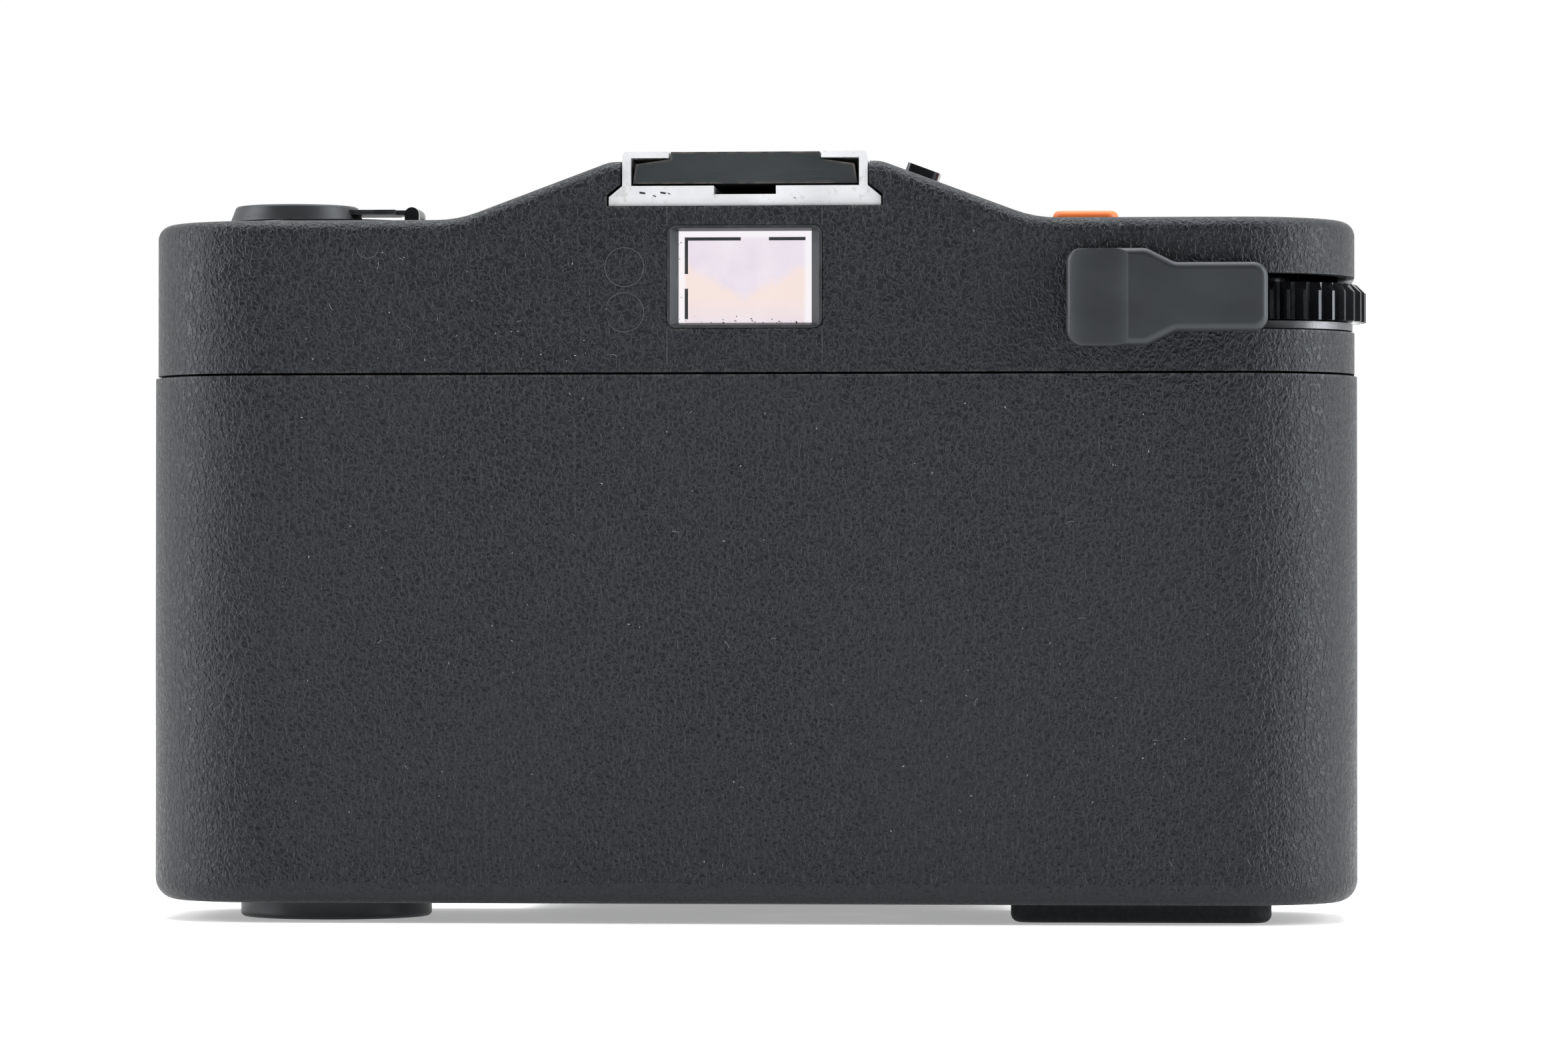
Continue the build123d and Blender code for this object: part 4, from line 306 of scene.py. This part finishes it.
NODE_MATERIALS = {
    "back_shell": "body", "front_panel": "body", "front_door": "body", "top_cover": "cover",
    "main_chassis": "inner", "eyepiece_frame": "control", "eyepiece_lens": "eyepiece",
    "finder_tunnel": "inner", "finder_objective": "finder_glass", "finder_window": "finder_glass",
    "meter_window": "finder_glass", "meter_cell": "steel", "counter_window": "finder_glass",
    "accessory_shoe": "shoe", "shoe_screws": "steel", "circuit_board": "board", "deck_screws": "steel",
    "battery": "steel", "battery_cap": "inner", "door_pin": "steel", "foot_pad": "pad",
    "tripod_bush": "steel", "plate_spring": "steel", "pressure_plate": "black_metal",
    "rewind_button": "gloss", "iso_dial": "control", "lock_disc": "control", "lock_key": "control",
    "shoe_cover": "shoe_cover", "wind_lever": "lever", "wind_wheel": "gloss", "lever_washer": "washer",
    "takeup_spool": "inner", "sprocket": "inner", "counter_dial": "dial", "rewind_spindle": "gloss",
    "crank_arm": "black_metal", "crank_grip": "control", "shutter_button": "orange", "timer_switch": "gloss",
    "door_liner": "black_metal", "lens_housing": "control", "shutter_blade_left": "black_metal",
    "shutter_blade_right": "black_metal", "lens_board": "control", "rear_lens_holder": "control",
    "rear_lens": "lens_glass", "aperture_ring": "control", "focus_ring": "control",
    "front_cell": "gloss", "front_lens": "lens_glass",
}


def dress_cad_nodes():
    for node, key in NODE_MATERIALS.items():
        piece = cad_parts[node]
        piece.data.materials.clear()
        piece.data.materials.append(MATERIALS[key])


# ---------------------------------------------------------------- mesh kit
def new_piece(name, mesh_builder, material, body):
    mesh = bpy.data.meshes.new(name)
    work = bmesh.new()
    mesh_builder(work)
    bmesh.ops.recalc_face_normals(work, faces=work.faces)
    work.to_mesh(mesh)
    work.free()
    mesh.materials.append(MATERIALS[material])
    piece = bpy.data.objects.new(name, mesh)
    bpy.context.scene.collection.objects.link(piece)
    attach(piece, body)
    return piece


def add_box(work, low, high):
    corners = [work.verts.new((x, y, z)) for x in (low[0], high[0]) for y in (low[1], high[1])
               for z in (low[2], high[2])]
    for face in ((0, 1, 3, 2), (4, 6, 7, 5), (0, 4, 5, 1), (2, 3, 7, 6), (0, 2, 6, 4), (1, 5, 7, 3)):
        work.faces.new([corners[i] for i in face])


# ---------------------------------------------------------------- finder frame lines
def build_frame_lines():
    """Dark bars of the finder's frame, seen in the eyepiece as broken lines near its rim."""
    inset, thick, depth = 0.5 * MM, 0.27 * MM, 0.03 * MM
    left_bar, right_bar, upper_bar = 4.6 * MM, 3.0 * MM, 3.0 * MM
    gap_end, bottom_gap = 4.2 * MM, 0.3 * MM
    front, back = glass_high.y, glass_high.y + depth
    left, right = glass_high.x - inset, glass_low.x + inset
    top, low = glass_high.z - inset, glass_low.z

    def bars(work):
        add_box(work, (left - left_bar, front, top - thick), (left, back, top))
        add_box(work, (right, front, top - thick), (right + right_bar, back, top))
        add_box(work, (left - thick, front, top - upper_bar), (left, back, top - thick))
        add_box(work, (left - thick, front, low + bottom_gap), (left, back, top - gap_end))

    return new_piece("finder_frame_lines", bars, "control", "body")


# ---------------------------------------------------------------- flat marks
def add_stroke(work, origin, right, up, points, width):
    """A flat ribbon through the points, given along right and up."""
    for (u0, v0), (u1, v1) in zip(points, points[1:]):
        along = Vector((u1 - u0, v1 - v0))
        side = Vector((-along.y, along.x)).normalized() * width / 2
        tip = along.normalized() * width / 2
        corners = ((u0, v0, side - tip), (u1, v1, side + tip), (u1, v1, tip - side), (u0, v0, -side - tip))
        work.faces.new([work.verts.new(origin + right * (u + shift.x) + up * (v + shift.y))
                        for u, v, shift in corners])


RING_STEPS = 48


def add_ring_mark(work, origin, right, up, radius, width, start=0.0, end=360.0):
    """A thin flat ring, or part of one."""
    rows = []
    for step in range(RING_STEPS + 1):
        angle = math.radians(start + (end - start) * step / RING_STEPS)
        direction = right * math.cos(angle) + up * math.sin(angle)
        rows.append((work.verts.new(origin + direction * (radius - width / 2)),
                     work.verts.new(origin + direction * (radius + width / 2))))
    for (a, b), (c, d) in zip(rows, rows[1:]):
        work.faces.new((a, b, d, c))


# Strokes of each numeral on a grid 1 wide and 2 tall.
NUMERALS = {
    "0": [[(0, 0), (1, 0), (1, 2), (0, 2), (0, 0)]],
    "1": [[(0.2, 1.6), (0.6, 2), (0.6, 0)]],
    "2": [[(0, 2), (1, 2), (1, 1), (0, 1), (0, 0), (1, 0)]],
    "3": [[(0, 2), (1, 2), (1, 0), (0, 0)], [(0.2, 1), (1, 1)]],
    "4": [[(0, 2), (0, 1), (1, 1)], [(1, 2), (1, 0)]],
    "5": [[(1, 2), (0, 2), (0, 1), (1, 1), (1, 0), (0, 0)]],
    "6": [[(1, 2), (0, 2), (0, 0), (1, 0), (1, 1), (0, 1)]],
    "7": [[(0, 2), (1, 2), (0.4, 0)]],
    "8": [[(0, 0), (1, 0), (1, 2), (0, 2), (0, 0)], [(0, 1), (1, 1)]],
    "9": [[(1, 1), (0, 1), (0, 2), (1, 2), (1, 0), (0, 0)]],
    ".": [[(0.4, 0), (0.6, 0)]],
}
NUMERAL_STEP = 1.6
NUMERAL_STROKE = 0.30


def add_number(work, text, centre, right, up, height):
    """A number in plain strokes, centred, its height along up."""
    unit = height / 2
    start = -(len(text) * NUMERAL_STEP - (NUMERAL_STEP - 1)) * unit / 2
    for index, numeral in enumerate(text):
        left = start + index * NUMERAL_STEP * unit
        for stroke in NUMERALS[numeral]:
            points = [(left + u * unit, v * unit - unit) for u, v in stroke]
            add_stroke(work, centre, right, up, points, NUMERAL_STROKE * unit)


MARK_LIFT = 0.02 * MM
X_AXIS, Y_AXIS, Z_AXIS = Vector((1, 0, 0)), Vector((0, 1, 0)), Vector((0, 0, 1))


def middle_of(node):
    low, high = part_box(node)
    return (low + high) / 2


def half_width_of(node):
    low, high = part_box(node)
    return (high.x - low.x) / 2


def build_dial_ring(name, node, labels, spread, height, material, body):
    """Numbers spread round the top of a lens ring's rim, in degrees from one to the next."""
    centre, radius = middle_of(node), half_width_of(node)

    def marks(work):
        for index, label in enumerate(labels):
            angle = math.radians(spread * (index - (len(labels) - 1) / 2))
            outward = X_AXIS * math.sin(angle) + Z_AXIS * math.cos(angle)
            along = X_AXIS * math.cos(angle) - Z_AXIS * math.sin(angle)
            rim = centre + outward * (radius + MARK_LIFT)
            add_number(work, label, rim, along, -Y_AXIS, height)

    return new_piece(name, marks, material, body)


# ---------------------------------------------------------------- marks on the back
def build_back_marks():
    """Moulding marks and parting lines round the eyepiece, on the cover's back."""
    face = cover_high.y + MARK_LIFT
    frame_low, frame_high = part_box("eyepiece_frame")
    shoe_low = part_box("accessory_shoe")[0]
    plug_x, plug_r = frame_high.x + 3.5 * MM, 1.6 * MM
    plugs = ((53.7 * MM, 0, 360), (50.0 * MM, 20, 325))
    gate_place, gate_r = Vector((31 * MM, face, 55.4 * MM)), 0.9 * MM
    line, fine_line, seam_margin = 0.06 * MM, 0.05 * MM, 0.6 * MM

    def marks(work):
        origin = Vector((0, face, 0))
        for z, start, end in plugs:
            add_ring_mark(work, Vector((plug_x, face, z)), X_AXIS, Z_AXIS, plug_r, line, start, end)
        for x in (frame_low.x, frame_high.x):
            add_stroke(work, origin, X_AXIS, Z_AXIS, [(x, frame_high.z), (x, shoe_low.z)], line)
            add_stroke(work, origin, X_AXIS, Z_AXIS, [(x, frame_low.z), (x, SEAM_Z + seam_margin)], fine_line)
        add_ring_mark(work, gate_place, X_AXIS, Z_AXIS, gate_r, fine_line, 180, 360)

    return new_piece("back_moulding_marks", marks, "line", "body")


HAIR_STEPS = 4
HAIR_WIDTH = 0.3


def build_flecks(name, body, face, x_span, z_span, count, size, chance_hair):
    """Dust flecks and short curved hairs lying on a back face."""
    def marks(work):
        origin = Vector((0, face + MARK_LIFT, 0))
        for _ in range(count):
            u, v = random.uniform(*x_span), random.uniform(*z_span)
            turn = random.uniform(0, math.pi)
            if random.random() < chance_hair:
                length, bend = random.uniform(3, 9) * size, random.uniform(-0.8, 0.8)
                points = []
                for step in range(HAIR_STEPS + 1):
                    part = step / HAIR_STEPS
                    angle = turn + bend * part
                    points.append((u + length * part * math.cos(angle), v + length * part * math.sin(angle)))
                add_stroke(work, origin, X_AXIS, Z_AXIS, points, HAIR_WIDTH * size)
            else:
                long, wide = random.uniform(0.5, 1.6) * size, random.uniform(0.4, 0.9) * size
                end = (u + long * math.cos(turn), v + long * math.sin(turn))
                add_stroke(work, origin, X_AXIS, Z_AXIS, [(u, v), end], wide)

    return new_piece(name, marks, "dust", body)


def build_finder_specks():
    """Dark grime along the bottom of the eyepiece glass and its edge nearest the rewind crank."""
    face = glass_high.y + MARK_LIFT
    count, share_below = 30, 0.7
    per_metre_side, per_metre_below = 9000, 6000

    def marks(work):
        origin = Vector((0, face, 0))
        for _ in range(count):
            if random.random() < share_below:
                u = random.uniform(glass_low.x, glass_high.x)
                v = glass_low.z + random.expovariate(per_metre_below)
            else:
                u = glass_high.x - random.expovariate(per_metre_side)
                v = random.uniform(glass_low.z, glass_high.z)
            u, v = max(u, glass_low.x), min(v, glass_high.z)
            size = random.uniform(0.02, 0.08) * MM
            add_stroke(work, origin, X_AXIS, Z_AXIS, [(u - size, v), (u, v + size * 0.4)], size)

    return new_piece("finder_grime", marks, "speck", "body")


def build_shoe_specks():
    """Small dark chips in the shoe's plating."""
    low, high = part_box("accessory_shoe")
    slant = 0.05 * MM
    # Each chip's place along the shoe, its height above the shoe's foot and its size, in mm.
    chips = ((8.4, 1.05, 0.16), (6.7, 1.05, 0.15), (7.4, 0.8, 0.09), (6.2, 0.98, 0.07), (-4.1, 0.6, 0.06))

    def marks(work):
        origin = Vector((0, high.y + MARK_LIFT, 0))
        for across_mm, up_mm, size_mm in chips:
            u, v, size = across_mm * MM, low.z + up_mm * MM, size_mm * MM
            add_stroke(work, origin, X_AXIS, Z_AXIS, [(u - size, v), (u + size, v + slant)], size)

    return new_piece("shoe_chips", marks, "speck", "body")


# ---------------------------------------------------------------- dials and front
def build_counter_marks():
    """The frame counter: a tick for every frame and a number for every fourth."""
    frames, numbered = 24, 4
    tick_place, number_place, number_height = 0.9, 0.68, 0.9 * MM
    tick, tick_width = [(-0.3 * MM, 0), (0.2 * MM, 0)], 0.1 * MM
    middle = middle_of("counter_dial")
    centre = Vector((middle.x, middle.y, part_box("counter_dial")[1].z + MARK_LIFT))
    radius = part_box("counter_dial")[1].x - middle.x

    def marks(work):
        for index in range(frames):
            angle = math.radians(360 / frames * index)
            outward = X_AXIS * math.cos(angle) + Y_AXIS * math.sin(angle)
            along = Y_AXIS * math.cos(angle) - X_AXIS * math.sin(angle)
            add_stroke(work, centre + outward * radius * tick_place, outward, along, tick, tick_width)
            if index % numbered == 0:
                place = centre + outward * radius * number_place
                add_number(work, str(index), place, along, outward, number_height)

    return new_piece("counter_numbers", marks, "speck", "counter")


def build_speed_marks():
    """Film speeds round the dial in the base, read from below, with a line round them."""
    speeds = ("25", "50", "100", "200", "400")
    number_place, number_height, line_place, line = 0.72, 1.1 * MM, 0.92, 0.12 * MM
    middle = middle_of("iso_dial")
    centre = Vector((middle.x, middle.y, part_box("iso_dial")[0].z - MARK_LIFT))
    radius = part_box("iso_dial")[1].x - middle.x

    def marks(work):
        for index, label in enumerate(speeds):
            angle = math.radians(360 / len(speeds) * (index + 0.5))
            outward = X_AXIS * math.cos(angle) + Y_AXIS * math.sin(angle)
            along = X_AXIS * math.sin(angle) - Y_AXIS * math.cos(angle)
            add_number(work, label, centre + outward * radius * number_place, along, outward, number_height)
        add_ring_mark(work, centre, X_AXIS, Y_AXIS, radius * line_place, line)

    return new_piece("film_speed_numbers", marks, "paint", "iso")


def add_ridge(work, x_low, x_high, y, width, base, crest):
    """A rounded bar along X, with tapered ends."""
    profile = ((-0.5, 0), (-0.34, 0.7), (0, 1), (0.34, 0.7), (0.5, 0))
    taper = 0.3
    rows = []
    for x, shrink in ((x_low, taper), (x_low + width, 1.0), (x_high - width, 1.0), (x_high, taper)):
        rows.append([work.verts.new((x, y + share * width, base + (crest - base) * rise * shrink))
                     for share, rise in profile])
    for first, second in zip(rows, rows[1:]):
        for index in range(len(profile) - 1):
            work.faces.new((first[index], first[index + 1], second[index + 1], second[index]))


def build_door_ribs():
    """Raised finger ribs near the free edge of the door, on its outside."""
    count, first, pitch, width, rise = 7, 4.0 * MM, 1.3 * MM, 0.5 * MM, 0.22 * MM
    half_length, shorter_by = 13 * MM, 0.4 * MM
    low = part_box("front_door")[0]

    def ribs(work):
        for index in range(count):
            y = low.y + first + pitch * index
            half = half_length - shorter_by * index
            add_ridge(work, -half, half, y, width, low.z, low.z - rise)

    return new_piece("door_finger_ribs", ribs, "body", "door")


def build_front_ring():
    """A thin white ring near the rim of the front cell."""
    centre = middle_of("front_cell")
    origin = Vector((centre.x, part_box("front_cell")[0].y - MARK_LIFT, centre.z))
    radius, line = half_width_of("front_cell") * 0.975, 0.10 * MM

    def marks(work):
        add_ring_mark(work, origin, X_AXIS, Z_AXIS, radius, line)

    return new_piece("front_cell_ring", marks, "paint", "focus")


# ---------------------------------------------------------------- stage, light, camera
FLOOR_GLOW = 0.4
FLOOR_HALF = 4
WORLD_FADE_END = 0.5
WORLD_BEHIND = 0.08
LIGHT_AIM = (0, 0, 0.03)
# Each softbox: its name, place, size and power.
SOFTBOXES = (
    ("top_softbox", (0.0, -0.05, 0.8), (0.9, 0.9), 8),
    ("right_softbox", (-0.80, 0.16, 0.30), (0.5, 0.8), 8.0),
    ("left_softbox", (0.80, 0.16, 0.30), (0.5, 0.8), 6.0),
)


def build_stage():
    mesh = bpy.data.meshes.new("floor")
    corners = [(x * FLOOR_HALF, y * FLOOR_HALF, 0) for x, y in ((-1, -1), (1, -1), (1, 1), (-1, 1))]
    mesh.from_pydata(corners, [], [(0, 1, 2, 3)])
    floor = bpy.data.objects.new("floor", mesh)
    n = Nodes("floor_paper")
    tone = n.noise(60, detail=3.0)
    colour = n.mix(n.remap(tone, 0.3, 0.7), (0.86, 0.86, 0.86), (0.88, 0.88, 0.88))
    n.link(colour, n.shader.inputs["Emission Color"])
    mesh.materials.append(n.finish(colour, 0.6, Emission_Strength=FLOOR_GLOW))
    bpy.context.scene.collection.objects.link(floor)


def area_light(name, place, size, power):
    light = bpy.data.lights.new(name, "AREA")
    light.shape = "RECTANGLE"
    light.size, light.size_y = size
    light.energy = power
    lamp = bpy.data.objects.new(name, light)
    lamp.location = place
    lamp.rotation_euler = (Vector(LIGHT_AIM) - Vector(place)).to_track_quat("-Z", "Y").to_euler()
    bpy.context.scene.collection.objects.link(lamp)


def build_world():
    """White to the eye all round; as light, dimmer from the camera's side, as in a studio."""
    world = bpy.data.worlds.new("studio")
    bpy.context.scene.world = world
    world.use_nodes = True
    tree = world.node_tree
    background = tree.nodes["Background"]
    coordinates = tree.nodes.new("ShaderNodeTexCoord")
    split = tree.nodes.new("ShaderNodeSeparateXYZ")
    fade = tree.nodes.new("ShaderNodeMapRange")
    seen = tree.nodes.new("ShaderNodeLightPath")
    choose = tree.nodes.new("ShaderNodeMix")
    fade.inputs["From Min"].default_value, fade.inputs["From Max"].default_value = 0.0, WORLD_FADE_END
    fade.inputs["To Min"].default_value, fade.inputs["To Max"].default_value = 1.0, WORLD_BEHIND
    choose.inputs[3].default_value = 1.0
    tree.links.new(coordinates.outputs["Generated"], split.inputs[0])
    tree.links.new(split.outputs["Y"], fade.inputs["Value"])
    tree.links.new(seen.outputs["Is Camera Ray"], choose.inputs[0])
    tree.links.new(fade.outputs["Result"], choose.inputs[2])
    tree.links.new(choose.outputs[0], background.inputs["Strength"])
    background.inputs["Color"].default_value = (1, 1, 1, 1)


def build_lights():
    for softbox in SOFTBOXES:
        area_light(*softbox)


def build_camera():
    """The main view: from behind, 4 degrees round, low, with a long lens."""
    eye_height, distance, yaw = 26 * MM, 515 * MM, math.radians(4)
    focal_length_mm, sensor_mm = 145.4, 36
    aim = Vector((-3.25 * MM, BACK_Y, 32.8 * MM))
    camera_data = bpy.data.cameras.new("camera")
    camera_data.sensor_width = sensor_mm
    camera_data.lens = focal_length_mm
    camera_data.clip_start, camera_data.clip_end = 0.01, 20
    camera = bpy.data.objects.new("camera", camera_data)
    camera.location = (aim.x - distance * math.tan(yaw), BACK_Y + distance, eye_height)
    camera.rotation_euler = (aim - camera.location).to_track_quat("-Z", "Y").to_euler()
    bpy.context.scene.collection.objects.link(camera)
    bpy.context.scene.camera = camera


bpy.context.scene.view_settings.view_transform = "Standard"
dress_cad_nodes()
build_frame_lines()
build_back_marks()
build_finder_specks()
build_shoe_specks()
build_flecks("back_shell_dust", "back", BACK_Y, (-38 * MM, 38 * MM), (4 * MM, 44 * MM),
             count=90, size=0.075 * MM, chance_hair=0.25)
build_flecks("cover_dust", "body", cover_high.y, (10 * MM, 37 * MM), (46 * MM, 55 * MM),
             count=34, size=0.07 * MM, chance_hair=0.3)
build_dial_ring("aperture_numbers", "aperture_ring", ("2.8", "4", "5.6", "8", "11", "16"), 21, 1.3 * MM,
                "paint", "aperture")
build_dial_ring("focus_numbers", "focus_ring", ("1", "1.5", "2", "3", "5", "10"), 24, 1.5 * MM,
                "orange_paint", "focus")
build_counter_marks()
build_speed_marks()
build_front_ring()
build_door_ribs()
build_stage()
build_world()
build_lights()
build_camera()
